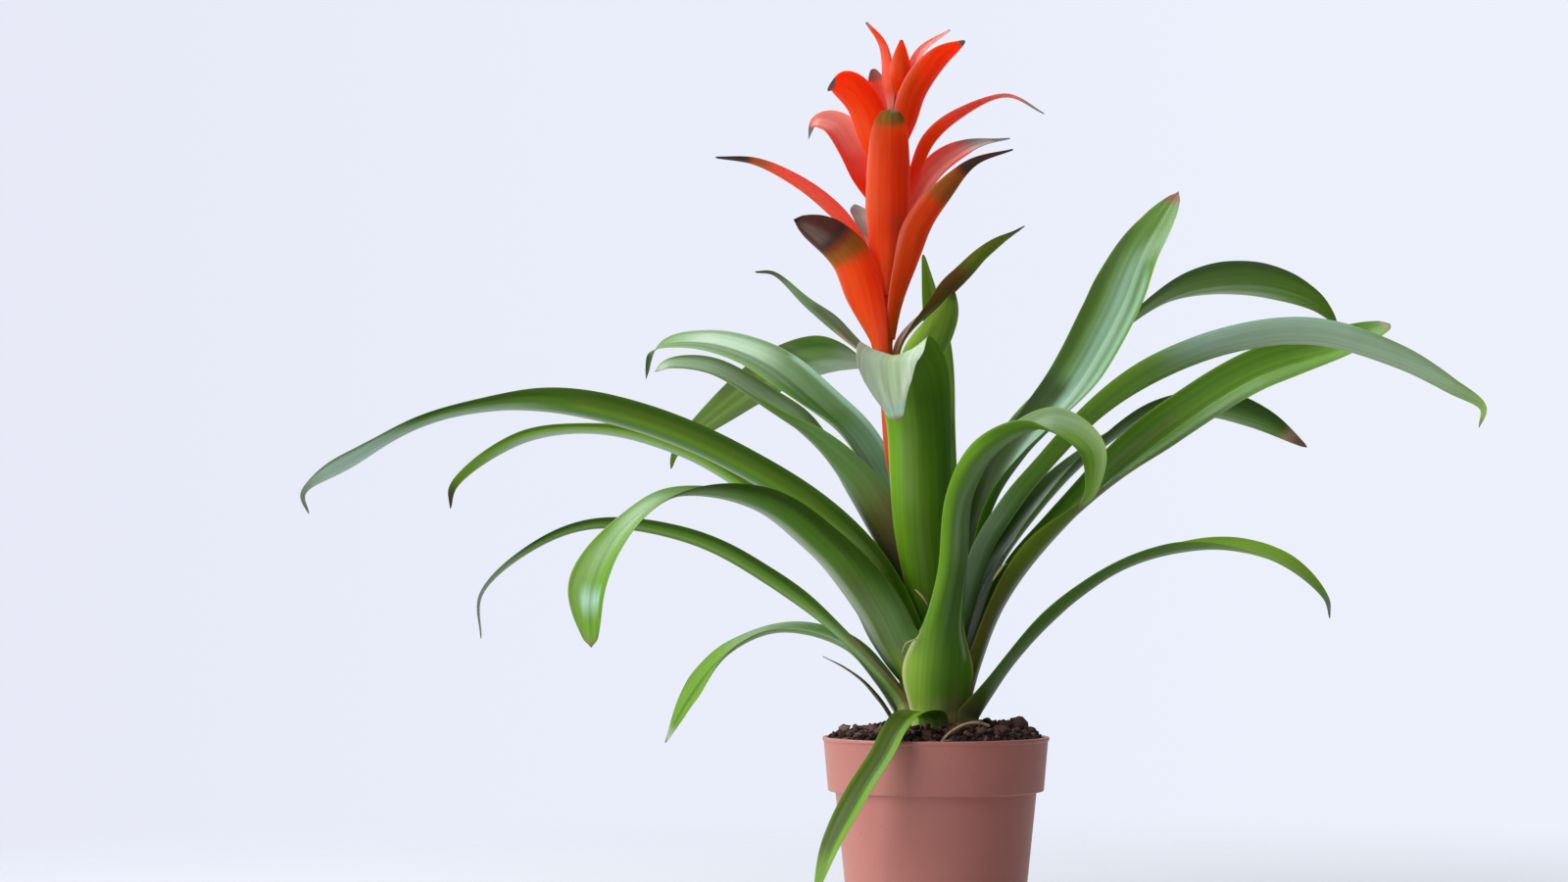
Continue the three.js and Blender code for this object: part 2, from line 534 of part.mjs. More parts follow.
const group = new THREE.Group();
group.add(piece('pot', potGeometry(), '#c08074', 0.6));
group.add(piece('soil', soilGeometry(), '#3a2a22', 1));
group.add(piece('stem', stemGeometry(), '#b5563a', 0.5));
LEAVES.forEach((leaf, rank) => {
  const dry = leaf.name.endsWith('dry');
  group.add(piece(leaf.name, leafGeometry(leaf, rank), dry ? '#7a5a44' : '#3f7a2a', dry ? 0.9 : 0.35));
});
for (const bract of BRACTS) {
  const green = bract.name.includes('green') || bract.name.includes('brown');
  group.add(piece(bract.name, bractGeometry(bract), green ? '#6a6a35' : '#e8401c', 0.4));
}

export default group;
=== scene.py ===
import math

import bmesh
import bpy
import numpy as np
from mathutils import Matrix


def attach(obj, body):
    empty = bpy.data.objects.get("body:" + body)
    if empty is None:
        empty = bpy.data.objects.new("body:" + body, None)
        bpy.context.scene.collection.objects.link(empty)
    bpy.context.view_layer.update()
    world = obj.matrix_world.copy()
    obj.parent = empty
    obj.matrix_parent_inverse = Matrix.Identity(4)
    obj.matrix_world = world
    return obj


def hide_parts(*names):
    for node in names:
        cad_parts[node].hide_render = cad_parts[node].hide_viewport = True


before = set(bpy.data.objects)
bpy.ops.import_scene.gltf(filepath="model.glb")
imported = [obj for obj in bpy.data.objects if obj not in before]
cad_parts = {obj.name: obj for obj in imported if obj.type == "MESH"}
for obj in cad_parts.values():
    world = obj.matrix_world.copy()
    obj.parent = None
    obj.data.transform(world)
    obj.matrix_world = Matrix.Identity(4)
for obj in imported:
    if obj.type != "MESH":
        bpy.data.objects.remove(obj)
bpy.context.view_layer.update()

# Studio: a long lens in front of the plant, as the photograph was taken, with a wide window light on the
# left and a weaker one above and behind. The floor is pale and fades out into the pale room.
CAMERA_PLACE = (-0.0803, -1.963, 0.1979)
CAMERA_TIP = 1.94
CAMERA_LENS = 85
SENSOR_WIDTH = 36
LIGHT_TARGET = (0, 0, 0.25)
WINDOW = dict(place=(-2.05, -1.25, 1.15), size=2.6, power=66, colour=(1, 0.985, 0.97))
SKY = dict(place=(-1.0, 0.8, 1.9), size=1.3, power=26, colour=(0.86, 0.96, 1.0))
FLOOR_RADIUS = 1.1
FLOOR_FADE = 0.22
FLOOR_EYE = 0.0001
FLOOR_SPOKES = 48
FLOOR_COLOUR = (0.66, 0.66, 0.71, 1)
FLOOR_ROUGHNESS = 0.7
BACKDROP_LEFT = (0.800, 0.812, 0.935, 1)
BACKDROP_RIGHT = (0.842, 0.880, 0.975, 1)
ROOM_COLOUR = (0.97, 0.985, 1.0, 1)
# strength of the room's light in front, behind, far right (a share) and above
ROOM_FRONT = 0.09
ROOM_BEHIND = 0.80
ROOM_RIGHT = 0.3
CEILING = 0.3
# where these change from one to the next, as a part of the direction looked in
BACKDROP_SPAN = (-0.25, 0.2)
BEHIND_SPAN = (-0.3, 0.35)
RIGHT_SPAN = (0.1, 0.8)
CEILING_SPAN = (0.2, 0.9)
# places of the colour sockets on a Mix node
COLOUR_A = 6
COLOUR_B = 7
COLOUR_RESULT = 2


def set_inputs(tree, node, inputs):
    """Sets each named input of a shader node to a value, or joins it to another node's output."""
    for name, value in inputs.items():
        if isinstance(value, bpy.types.NodeSocket):
            tree.links.new(value, node.inputs[name])
        else:
            node.inputs[name].default_value = value


def add_node(tree, kind, inputs=None, **settings):
    """Adds a shader node of this kind with its settings and inputs."""
    made = tree.nodes.new("ShaderNode" + kind)
    for name, value in settings.items():
        setattr(made, name, value)
    set_inputs(tree, made, inputs or {})
    return made


def worked_out(tree, operation, first, second):
    """Output of a Math node."""
    return add_node(tree, "Math", {0: first, 1: second}, operation=operation).outputs[0]


def mapped(tree, value, start, end, low=0.0, high=1.0, rise="LINEAR"):
    """Output of a Map Range node: low up to start, high from end on, and a rise between."""
    ends = {"From Min": start, "From Max": end, "To Min": low, "To Max": high}
    return add_node(tree, "MapRange", {"Value": value, **ends}, interpolation_type=rise).outputs["Result"]


def blend_colour(tree, factor, first, second, blend="MIX"):
    """Colour output of a Mix node, from the first colour to the second."""
    given = {"Factor": factor, COLOUR_A: first, COLOUR_B: second}
    return add_node(tree, "Mix", given, data_type="RGBA", blend_type=blend).outputs[COLOUR_RESULT]


def new_material(name):
    """The node tree, the shader and the material itself, for the nodes of one finish."""
    material = bpy.data.materials.new(name)
    material.use_nodes = True
    return material.node_tree, material.node_tree.nodes["Principled BSDF"], material


def add_light(name, place, size, power, colour):
    """A square soft light of this size in metres that faces the plant."""
    data = bpy.data.lights.new(name, "AREA")
    data.shape = "SQUARE"
    data.size = size
    data.energy = power
    data.color = colour
    lamp = bpy.data.objects.new(name, data)
    lamp.location = place
    x, y, z = (t - p for t, p in zip(LIGHT_TARGET, place))
    lamp.rotation_euler = (math.atan2(math.hypot(x, y), -z), 0, math.atan2(-x, y))
    bpy.context.scene.collection.objects.link(lamp)


def room_world():
    """The room as light and as backdrop: a bright wall behind, a dimmer room in front, a white ceiling."""
    world = bpy.data.worlds.new("pale_room")
    world.use_nodes = True
    tree = world.node_tree
    tree.nodes.clear()
    direction = add_node(tree, "TexCoord").outputs["Generated"]
    parts = add_node(tree, "SeparateXYZ", {"Vector": direction}).outputs
    side = mapped(tree, parts["X"], *BACKDROP_SPAN)
    backdrop = blend_colour(tree, side, BACKDROP_LEFT, BACKDROP_RIGHT)
    behind = mapped(tree, parts["Y"], *BEHIND_SPAN, ROOM_FRONT, ROOM_BEHIND, "SMOOTHSTEP")
    right = mapped(tree, parts["X"], *RIGHT_SPAN, 1.0, ROOM_RIGHT)
    above = mapped(tree, parts["Z"], *CEILING_SPAN, 0.0, CEILING, "SMOOTHSTEP")
    light = worked_out(tree, "ADD", worked_out(tree, "MULTIPLY", behind, right), above)
    seen = add_node(tree, "LightPath").outputs["Is Camera Ray"]
    strength = add_node(tree, "Mix", {"Factor": seen, "A": light, "B": 1.0}, data_type="FLOAT")
    colour = blend_colour(tree, seen, ROOM_COLOUR, backdrop)
    back = add_node(tree, "Background", {"Color": colour, "Strength": strength.outputs["Result"]})
    add_node(tree, "OutputWorld", {"Surface": back.outputs["Background"]})
    return world


def ring_faces(rings, sides):
    """Quads between neighbouring rings of points, each ring with this number of sides."""
    i, j = np.meshgrid(np.arange(rings - 1), np.arange(sides), indexing="ij")
    a = i * sides + j
    b = i * sides + (j + 1) % sides
    return np.stack([a, b, b + sides, a + sides], -1).reshape(-1, 4)


def turned(profile, sides):
    """Carries an (r, z) profile round the Z axis: point = (r cos a, r sin a, z)."""
    turn = np.linspace(0, 2 * np.pi, sides, endpoint=False)
    r, z = profile[:, 0:1], profile[:, 1:2]
    points = np.stack([r * np.cos(turn), r * np.sin(turn), z + 0 * turn], -1)
    return points.reshape(-1, 3), ring_faces(len(profile), sides)


camera_data = bpy.data.cameras.new("camera")
camera_data.lens = CAMERA_LENS
camera_data.sensor_width = SENSOR_WIDTH
camera = bpy.data.objects.new("camera", camera_data)
camera.location = CAMERA_PLACE
camera.rotation_euler = (math.radians(90 + CAMERA_TIP), 0, 0)
bpy.context.scene.collection.objects.link(camera)
bpy.context.scene.camera = camera
bpy.context.scene.world = room_world()
bpy.context.scene.view_settings.view_transform = "Standard"
add_light("window_left", **WINDOW)
add_light("sky_above", **SKY)

floor_tree, floor_shader, floor_material = new_material("pale_floor")
floor_place = add_node(floor_tree, "TexCoord").outputs["Object"]
floor_distance = add_node(floor_tree, "VectorMath", {0: floor_place}, operation="LENGTH").outputs["Value"]
floor_alpha = mapped(floor_tree, floor_distance, FLOOR_FADE, FLOOR_RADIUS * 0.95, 1.0, 0.0, "SMOOTHSTEP")
set_inputs(floor_tree, floor_shader, {
    "Base Color": FLOOR_COLOUR, "Roughness": FLOOR_ROUGHNESS, "Alpha": floor_alpha,
})
floor_profile = np.array([[FLOOR_RADIUS, 0], [FLOOR_FADE, 0], [FLOOR_EYE, 0]])
floor_points, floor_faces = turned(floor_profile, FLOOR_SPOKES)
floor_mesh = bpy.data.meshes.new("floor")
floor_mesh.from_pydata(floor_points.tolist(), [], floor_faces.tolist())
floor_mesh.materials.append(floor_material)
floor = bpy.data.objects.new("floor", floor_mesh)
floor.visible_glossy = False
bpy.context.scene.collection.objects.link(floor)


# Pot: thin terracotta-pink polypropylene, moulded in one piece. A straight collar stiffens the rim, the
# wall tapers to a foot ring, and eight holes drain the recessed floor.
MM = 0.001
WELD = 1e-7
POT_HEIGHT = 108
RIM_RADIUS = 60
LIP_HEIGHT = 2.2
COLLAR_RADIUS = 59.3
COLLAR_HEIGHT = 28.5
COLLAR_FOOT = POT_HEIGHT - COLLAR_HEIGHT
COLLAR_FOOT_RADIUS = 57
BODY_TOP_RADIUS = 53.2
POT_FOOT_RADIUS = 45
POT_WALL = 1.5
POT_ROUNDING = 0.7
POT_SIDES = 160
FLOOR_RECESS = 2
FOOT_RING_INNER_RADIUS = 39
CENTRE_PAD_RADIUS = 9
DRAIN_HOLES = 8
DRAIN_RADIUS = 4.5
DRAIN_CIRCLE = 30
DRILL_SIDES = 32
POT_PINK = (0.51, 0.16, 0.125, 1)
POT_PALE = (0.56, 0.195, 0.16, 1)
POT_DUST = (0.12, 0.075, 0.055, 1)


def rounded(corners, radius, steps=4):
    """Replaces each corner of a profile by a curve that starts and ends within radius of it.

    The curve is (1 - u)^2 start + 2 u (1 - u) corner + u^2 end, for u from 0 to 1."""
    points = [corners[:1]]
    for before, at, after in zip(corners[:-2], corners[1:-1], corners[2:]):
        reach_in = min(radius, np.linalg.norm(at - before) * 0.45)
        reach_out = min(radius, np.linalg.norm(after - at) * 0.45)
        start = at + (before - at) / np.linalg.norm(before - at) * reach_in
        end = at + (after - at) / np.linalg.norm(after - at) * reach_out
        u = np.linspace(0, 1, steps + 1)[:, None]
        points.append((1 - u) ** 2 * start + 2 * u * (1 - u) * at + u ** 2 * end)
    points.append(corners[-1:])
    return np.vstack(points)


def mesh_in_mm(name, points, faces):
    """A mesh from points in millimetres and faces of any number of corners."""
    mesh = bpy.data.meshes.new(name)
    faces = faces.tolist() if isinstance(faces, np.ndarray) else faces
    mesh.from_pydata((points * MM).tolist(), [], faces)
    return mesh


def add_piece(name, points, faces, material, nodes=(), fields=None):
    """Makes a smooth mesh piece from millimetre points, which stands for the named solids.

    Fields hold three values for each point: tint is a colour, and blade a place on a leaf. Points in one
    place are welded, which closes poles and seams."""
    mesh = mesh_in_mm(name, points, faces)
    for field, values in (fields or {}).items():
        values = values.astype(np.float32)
        if field == "tint":
            opaque = np.ones((len(values), 1), np.float32)
            made = mesh.attributes.new(field, "FLOAT_COLOR", "POINT")
            made.data.foreach_set("color", np.hstack([values, opaque]).ravel())
        else:
            made = mesh.attributes.new(field, "FLOAT_VECTOR", "POINT")
            made.data.foreach_set("vector", values.ravel())
    shell = bmesh.new()
    shell.from_mesh(mesh)
    bmesh.ops.remove_doubles(shell, verts=shell.verts, dist=WELD)
    shell.to_mesh(mesh)
    shell.free()
    mesh.polygons.foreach_set("use_smooth", [True] * len(mesh.polygons))
    mesh.materials.append(material)
    piece = bpy.data.objects.new(name, mesh)
    bpy.context.scene.collection.objects.link(piece)
    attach(piece, "root")
    if nodes:
        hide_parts(*nodes)
    return piece


def new_group(name, inputs, outputs):
    """An empty node group with number sockets: its tree, what comes in and where the outputs go."""
    tree = bpy.data.node_groups.new(name, "ShaderNodeTree")
    for label, start in inputs.items():
        tree.interface.new_socket(label, in_out="INPUT", socket_type="NodeSocketFloat").default_value = start
    for label in outputs:
        tree.interface.new_socket(label, in_out="OUTPUT", socket_type="NodeSocketFloat")
    return tree, tree.nodes.new("NodeGroupInput").outputs, tree.nodes.new("NodeGroupOutput")


def speckle_group():
    """Node group: a mask of scattered spots, and a soft cloud, both from Object coordinates."""
    inputs = {"Spot Scale": 900.0, "Spot Share": 0.62, "Cloud Scale": 30.0}
    tree, given, out = new_group("speckle", inputs, ["Spots", "Cloud"])
    place = add_node(tree, "TexCoord").outputs["Object"]
    fine = add_node(tree, "TexNoise", {"Vector": place, "Scale": given["Spot Scale"], "Detail": 2.0})
    full = worked_out(tree, "ADD", given["Spot Share"], 0.08)
    spots = mapped(tree, fine.outputs["Fac"], given["Spot Share"], full)
    cloud = add_node(
        tree, "TexNoise", {"Vector": place, "Scale": given["Cloud Scale"], "Detail": 4.0, "Roughness": 0.6}
    )
    set_inputs(tree, out, {"Spots": spots, "Cloud": cloud.outputs["Fac"]})
    return tree


def pot_profile():
    """Corners of the pot's wall as (r, z), from the middle of the underside round to that of the floor."""
    floor_top = FLOOR_RECESS + POT_WALL
    slope = (BODY_TOP_RADIUS - POT_FOOT_RADIUS) / COLLAR_FOOT
    return np.array([
        [0, 0], [CENTRE_PAD_RADIUS, 0], [CENTRE_PAD_RADIUS + 1, FLOOR_RECESS],
        [FOOT_RING_INNER_RADIUS - 1, FLOOR_RECESS], [FOOT_RING_INNER_RADIUS, 0],
        [POT_FOOT_RADIUS, 0],
        [BODY_TOP_RADIUS, COLLAR_FOOT - 0.3], [COLLAR_FOOT_RADIUS, COLLAR_FOOT],
        [COLLAR_RADIUS, POT_HEIGHT - LIP_HEIGHT], [RIM_RADIUS, POT_HEIGHT - LIP_HEIGHT + 0.4],
        [RIM_RADIUS, POT_HEIGHT], [COLLAR_RADIUS - POT_WALL, POT_HEIGHT],
        [COLLAR_FOOT_RADIUS - POT_WALL, COLLAR_FOOT + POT_WALL],
        [BODY_TOP_RADIUS - POT_WALL, COLLAR_FOOT + 0.6],
        [POT_FOOT_RADIUS + slope * floor_top - POT_WALL, floor_top], [0, floor_top],
    ])


def drill_drain_holes(piece):
    """Cuts the ring of round holes through the floor and keeps the cut mesh as the piece's own."""
    below, above = -5, 9
    rod = np.array([[0, below], [DRAIN_RADIUS, below], [DRAIN_RADIUS, above], [0, above]])
    rod_points, rod_faces = turned(rod, DRILL_SIDES)
    turns = (np.arange(DRAIN_HOLES) + 0.5) / DRAIN_HOLES * 2 * np.pi
    middles = DRAIN_CIRCLE * np.stack([np.cos(turns), np.sin(turns), 0 * turns], -1)
    points = rod_points + middles[:, None]
    faces = rod_faces + len(rod_points) * np.arange(DRAIN_HOLES)[:, None, None]
    drill = bpy.data.objects.new("drill", mesh_in_mm("drill", points.reshape(-1, 3), faces.reshape(-1, 4)))
    bpy.context.scene.collection.objects.link(drill)
    cut = piece.modifiers.new("drain_holes", "BOOLEAN")
    cut.object = drill
    cut.solver = "EXACT"
    bpy.context.view_layer.update()
    done = bpy.data.meshes.new_from_object(piece.evaluated_get(bpy.context.evaluated_depsgraph_get()))
    piece.modifiers.clear()
    piece.data = done
    bpy.data.objects.remove(drill)


def pot_plastic():
    """Satin plastic in two near pinks with soft clouds, faint specks of soil dust and a slight ripple."""
    tree, shader, material = new_material("pot_plastic")
    scales = {"Spot Scale": 520, "Spot Share": 0.69, "Cloud Scale": 22}
    marks = add_node(tree, "Group", scales, node_tree=speckle).outputs
    tone = blend_colour(tree, marks["Cloud"], POT_PINK, POT_PALE)
    dust = worked_out(tree, "MULTIPLY", marks["Spots"], 0.5)
    ripple = add_node(tree, "Bump", {"Height": marks["Cloud"], "Strength": 0.25, "Distance": 0.0006})
    set_inputs(tree, shader, {
        "Base Color": blend_colour(tree, dust, tone, POT_DUST),
        "Roughness": mapped(tree, marks["Cloud"], 0.0, 1.0, 0.36, 0.5),
        "Specular IOR Level": 1,
        "Normal": ripple.outputs["Normal"],
    })
    return material


speckle = speckle_group()
pot_points, pot_faces = turned(rounded(pot_profile(), POT_ROUNDING), POT_SIDES)
pot = add_piece("nursery_pot", pot_points, pot_faces, pot_plastic(), ["pot"])
drill_drain_holes(pot)


# Soil: dark peat that fills the pot and is heaped a little round the plant, with crumbs, bark chips, a few
# pale grains and fine roots lying on it. It is one loose plug, held by the pot.
SOIL_GAP = 0.3
SOIL_EDGE_HEIGHT = 105.5
SOIL_MIDDLE_HEIGHT = 114
SOIL_RINGS = 90
SOIL_SECTORS = 260
RELIEF_EDGE = 57
RELIEF_FADE = 3
LUMP_GRID = 97
PEAT_DARK = (0.036, 0.021, 0.018)
PEAT_BROWN = (0.11, 0.063, 0.052)
BARK_BROWN = (0.20, 0.125, 0.10)
GRAIN_PALE = (0.42, 0.38, 0.40)
ROOT_BEIGE = (0.30, 0.21, 0.14)
STRAW_ROOT = (0.42, 0.31, 0.17)
# clods that the photograph shows: x, y and radius
CLODS = [
    (-50, 4, 4.5), (-45, -12, 3.5), (-42, 10, 3.5), (-29, 2, 5), (-33, -18, 4), (29, 9, 7), (35, -4, 5),
    (44, 3, 7), (51, 1, 4.5), (39, 15, 5), (34, -24, 4.5), (45, -14, 4), (22, -40, 4), (-6, -47, 4.5),
    (-22, -40, 3.5), (8, -38, 4), (30, -36, 3.5), (-14, -32, 4), (0, 44, 5), (-30, 32, 5), (26, 36, 5),
]
CLOD_FLATNESS = (0.65, 0.9)
CLOD_LIFT = 0.3
# crumbs, chips and grains: how many, the ring of soil they lie in, their radius, flatness, lift and colour
CRUMBS = [
    (700, (20, 55), (0.9, 3.4), (0.5, 0.85), 0.25, PEAT_DARK),
    (350, (20, 55), (0.8, 3.2), (0.5, 0.85), 0.35, PEAT_BROWN),
    (70, (24, 53), (1.6, 4.4), (0.2, 0.4), 0.45, BARK_BROWN),
    (26, (26, 54), (0.5, 1.1), (0.6, 0.9), 0.7, GRAIN_PALE),
]
CRUMB_DENTS = (0.55, 1.25)
CRUMB_NARROWING = (0.6, 0.9)
ROOT_COUNT = 42
ROOT_RINGS = 14
ROOT_PLACES = (27, 54)
ROOT_REACH = 55
ROOT_WANDER = 0.35
ROOT_STEP = (0.5, 1.3)
ROOT_RADIUS = (0.1, 0.28)
ROOT_LIFT = 0.25
ROOT_ARCH = 1.2
PALE_ROOT = [
    (0, -53, 106), (3.2, -52, 111), (8.5, -50, 114.5), (13.5, -48, 116.8), (20, -45, 117.6), (27, -41, 115),
]
PALE_ROOT_STEPS = 24
PALE_ROOT_RADIUS = 0.85
# what the point colour is multiplied by: painted shade in the pits of the relief, and lighter on its crests
PIT_SHADE = (0.2, 0.2, 0.2, 1)
CRUST_SHADE = (2, 1.85, 1.8, 1)


def lumpy(x, y, size, seed):
    """Smooth random heights from -1 to 1: a random value at each corner of a square grid, eased between."""
    corner = np.random.default_rng(seed).uniform(-1, 1, (LUMP_GRID, LUMP_GRID))
    i, j = np.floor(x / size).astype(int), np.floor(y / size).astype(int)
    u, v = x / size - i, y / size - j
    u, v = u * u * (3 - 2 * u), v * v * (3 - 2 * v)
    i, j, after_i, after_j = (k % LUMP_GRID for k in (i, j, i + 1, j + 1))
    low = corner[i, j] * (1 - u) + corner[after_i, j] * u
    high = corner[i, after_j] * (1 - u) + corner[after_i, after_j] * u
    return low * (1 - v) + high * v


def soil_top(x, y):
    """Height of the heaped soil: it falls with the square of the radius, plus crumbly relief.

    The relief is 1.5, 0.9 and 0.45 mm high on grids of 7, 3.1 and 1.4 mm, and fades out at the wall."""
    radius = np.hypot(x, y)
    heap = SOIL_MIDDLE_HEIGHT + (SOIL_EDGE_HEIGHT - SOIL_MIDDLE_HEIGHT) * (radius / COLLAR_RADIUS) ** 2
    relief = 1.5 * lumpy(x, y, 7.0, 1) + 0.9 * lumpy(x, y, 3.1, 2) + 0.45 * np.abs(lumpy(x, y, 1.4, 3))
    return heap + relief * np.clip((RELIEF_EDGE - radius) / RELIEF_FADE, 0, 1)


def soil_plug():
    """Closed plug: floor and wall inside the pot as an (r, z) profile, then the top as rings of points."""
    turn = np.linspace(0, 2 * np.pi, SOIL_SECTORS, endpoint=False)
    inset = POT_WALL + SOIL_GAP
    bottom = FLOOR_RECESS + inset
    foot_radius = POT_FOOT_RADIUS + (BODY_TOP_RADIUS - POT_FOOT_RADIUS) * bottom / COLLAR_FOOT - inset
    wall = np.array([
        [0, bottom], [foot_radius, bottom], [BODY_TOP_RADIUS - inset - 0.1, COLLAR_FOOT + 1],
        [COLLAR_FOOT_RADIUS - inset - 0.2, COLLAR_FOOT + inset + 0.3],
        [COLLAR_RADIUS - inset - 0.25, SOIL_EDGE_HEIGHT - 0.4],
    ])
    top_radii = np.linspace(COLLAR_RADIUS - inset - 0.4, 0, SOIL_RINGS)
    r = np.concatenate([wall[:, 0], top_radii])[:, None]
    x, y = r * np.cos(turn), r * np.sin(turn)
    z = np.vstack([wall[:, 1:2] + 0 * turn, soil_top(x[len(wall):], y[len(wall):])])
    return np.stack([x, y, z], -1).reshape(-1, 3), ring_faces(len(r), SOIL_SECTORS)


def crumb_shape():
    """A small ball of 42 points and 80 triangles that every crumb is made from."""
    ball = bmesh.new()
    bmesh.ops.create_icosphere(ball, subdivisions=2, radius=1)
    points = np.array([v.co[:] for v in ball.verts])
    faces = np.array([[v.index for v in f.verts] for f in ball.faces])
    ball.free()
    return points, faces


def scattered(random, count, ring):
    """Random places in a ring of the soil, spread evenly over its area."""
    radius = np.sqrt(random.uniform(ring[0] ** 2, ring[1] ** 2, count))
    turn = random.uniform(0, 2 * np.pi, count)
    return radius * np.cos(turn), radius * np.sin(turn)


def random_turns(random, count):
    """Random rotation matrices, each worked out from a random unit quaternion (w, x, y, z)."""
    q = random.normal(size=(count, 4))
    w, x, y, z = (q / np.linalg.norm(q, axis=1, keepdims=True)).T
    return np.stack([
        1 - 2 * (y * y + z * z), 2 * (x * y - z * w), 2 * (x * z + y * w),
        2 * (x * y + z * w), 1 - 2 * (x * x + z * z), 2 * (y * z - x * w),
        2 * (x * z - y * w), 2 * (y * z + x * w), 1 - 2 * (x * x + y * y),
    ], -1).reshape(count, 3, 3)


def lumps(random, x, y, radius, flatness, lift):
    """Balls with random dents, stretched and turned, at point = soil top + lift radius + turn (dent ball)."""
    points, faces = crumb_shape()
    count = len(x)
    dents = random.uniform(*CRUMB_DENTS, (count, len(points), 1))
    narrow = random.uniform(*CRUMB_NARROWING, count)
    stretch = np.stack([np.ones(count), narrow, random.uniform(*flatness, count)], -1)
    shapes = points[None] * dents * stretch[:, None] * radius[:, None, None]
    shapes = np.einsum("nij,npj->npi", random_turns(random, count), shapes)
    shapes += np.stack([x, y, soil_top(x, y) + radius * lift], -1)[:, None]
    shift = np.arange(count)[:, None, None] * len(points)
    return shapes.reshape(-1, 3), (faces[None] + shift).reshape(-1, 3)


def crumbs(random, count, ring, size, flatness, lift):
    """Lumps of random size that lie scattered in a ring of the soil."""
    x, y = scattered(random, count, ring)
    radius = random.uniform(*size, count) * random.uniform(0.6, 1, count)
    return lumps(random, x, y, radius, flatness, lift)


def swept(path, radius, sides=6):
    """Tube round a path: ring point = path + radius (cos a u + sin a v), with u and v square to the path.

    Both ends shrink to a point, which closes them."""
    along = np.gradient(path, axis=0)
    along /= np.linalg.norm(along, axis=1, keepdims=True)
    u = np.cross(along, [0.12, 0.2, 1.0])
    u /= np.linalg.norm(u, axis=1, keepdims=True)
    v = np.cross(along, u)
    a = np.linspace(0, 2 * np.pi, sides, endpoint=False)[None, :, None]
    spread = np.broadcast_to(radius, len(path)).reshape(-1, 1, 1)
    rings = path[:, None] + spread * (np.cos(a) * u[:, None] + np.sin(a) * v[:, None])
    ends = np.broadcast_to(path[[0, -1], None], (2, sides, 3))
    rings = np.concatenate([ends[:1], rings, ends[1:]])
    return rings.reshape(-1, 3), ring_faces(len(rings), sides)


def joined(parts):
    """One list of points, faces and point colours from (points, faces, colour) parts."""
    points, faces, colours = [], [], []
    count = 0
    for part_points, part_faces, colour in parts:
        faces += (part_faces + count).tolist()
        count += len(part_points)
        points.append(part_points)
        colours.append(np.broadcast_to(colour, part_points.shape))
    return np.vstack(points), faces, np.vstack(colours)


def fine_roots(random):
    """Thin roots that lie on the soil: each heading wanders by random turns from ring to ring."""
    parts = []
    x, y = scattered(random, ROOT_COUNT, ROOT_PLACES)
    for start_x, start_y in zip(x, y):
        turns = random.uniform(0, 2 * np.pi) + np.cumsum(random.normal(0, ROOT_WANDER, ROOT_RINGS))
        step = random.uniform(*ROOT_STEP)
        root_x = start_x + np.cumsum(np.cos(turns)) * step
        root_y = start_y + np.cumsum(np.sin(turns)) * step
        inside = np.minimum(1, ROOT_REACH / np.hypot(root_x, root_y))
        root_x, root_y = root_x * inside, root_y * inside
        lift = ROOT_LIFT + random.uniform(0, ROOT_ARCH) * np.sin(np.linspace(0, np.pi, ROOT_RINGS))
        path = np.stack([root_x, root_y, soil_top(root_x, root_y) + lift], -1)
        parts.append((*swept(path, random.uniform(*ROOT_RADIUS)), ROOT_BEIGE))
    return parts


def smooth_path(corners, steps):
    """Points on the straight lines between the corners, then rounded by a running mean of five of them."""
    corners = np.asarray(corners, float)
    at = np.linspace(0, len(corners) - 1, steps)
    path = np.stack([np.interp(at, range(len(corners)), corners[:, k]) for k in range(3)], -1)
    padded = np.pad(path, ((2, 2), (0, 0)), mode="edge")
    return sum(padded[k:k + steps] for k in range(5)) / 5


def peat_material():
    """Point colour with painted shade in the pits of its relief and lighter on the crests, freckled with
    lighter fibres, rough all over.
    """
    tree, shader, material = new_material("peat")
    scales = {"Spot Scale": 1500, "Spot Share": 0.6, "Cloud Scale": 260}
    marks = add_node(tree, "Group", scales, node_tree=speckle).outputs
    tint = add_node(tree, "Attribute", attribute_name="tint").outputs["Color"]
    pits = blend_colour(tree, marks["Cloud"], PIT_SHADE, CRUST_SHADE)
    toned = blend_colour(tree, 1.0, tint, pits, "MULTIPLY")
    fibres = worked_out(tree, "MULTIPLY", marks["Spots"], 0.35)
    crumble = add_node(tree, "Bump", {"Height": marks["Cloud"], "Strength": 1, "Distance": 0.0015})
    set_inputs(tree, shader, {
        "Base Color": blend_colour(tree, fibres, toned, (*BARK_BROWN, 1)),
        "Normal": crumble.outputs["Normal"],
        "Roughness": 0.93,
        "Specular IOR Level": 0.25,
    })
    return material


soil_random = np.random.default_rng(7)
clod_x, clod_y, clod_radius = np.array(CLODS, float).T
soil_points, soil_faces, soil_tint = joined([
    (*soil_plug(), PEAT_DARK),
    (*lumps(soil_random, clod_x, clod_y, clod_radius, CLOD_FLATNESS, CLOD_LIFT), PEAT_BROWN),
    *[(*crumbs(soil_random, *crumb), colour) for *crumb, colour in CRUMBS],
    *fine_roots(soil_random),
    (*swept(smooth_path(PALE_ROOT, PALE_ROOT_STEPS), PALE_ROOT_RADIUS), STRAW_ROOT),
])
add_piece("peat_soil", soil_points, soil_faces, peat_material(), ["soil"], {"tint": soil_tint})


# Stem: a short tapered stock that the leaves clasp, standing in the soil, and the leaning flower stem above
# it, one living stalk that turns from green-brown to orange-red on its way up.
STOCK_DEPTH = 22
STOCK_SHOULDER = 113.5
STOCK_TAPER_START = 116
STOCK_TAPER_END = 150
STOCK_TOP = 153
STOCK_RADIUS = 20
STOCK_TOP_RADIUS = 7
STOCK_SIDES = 56
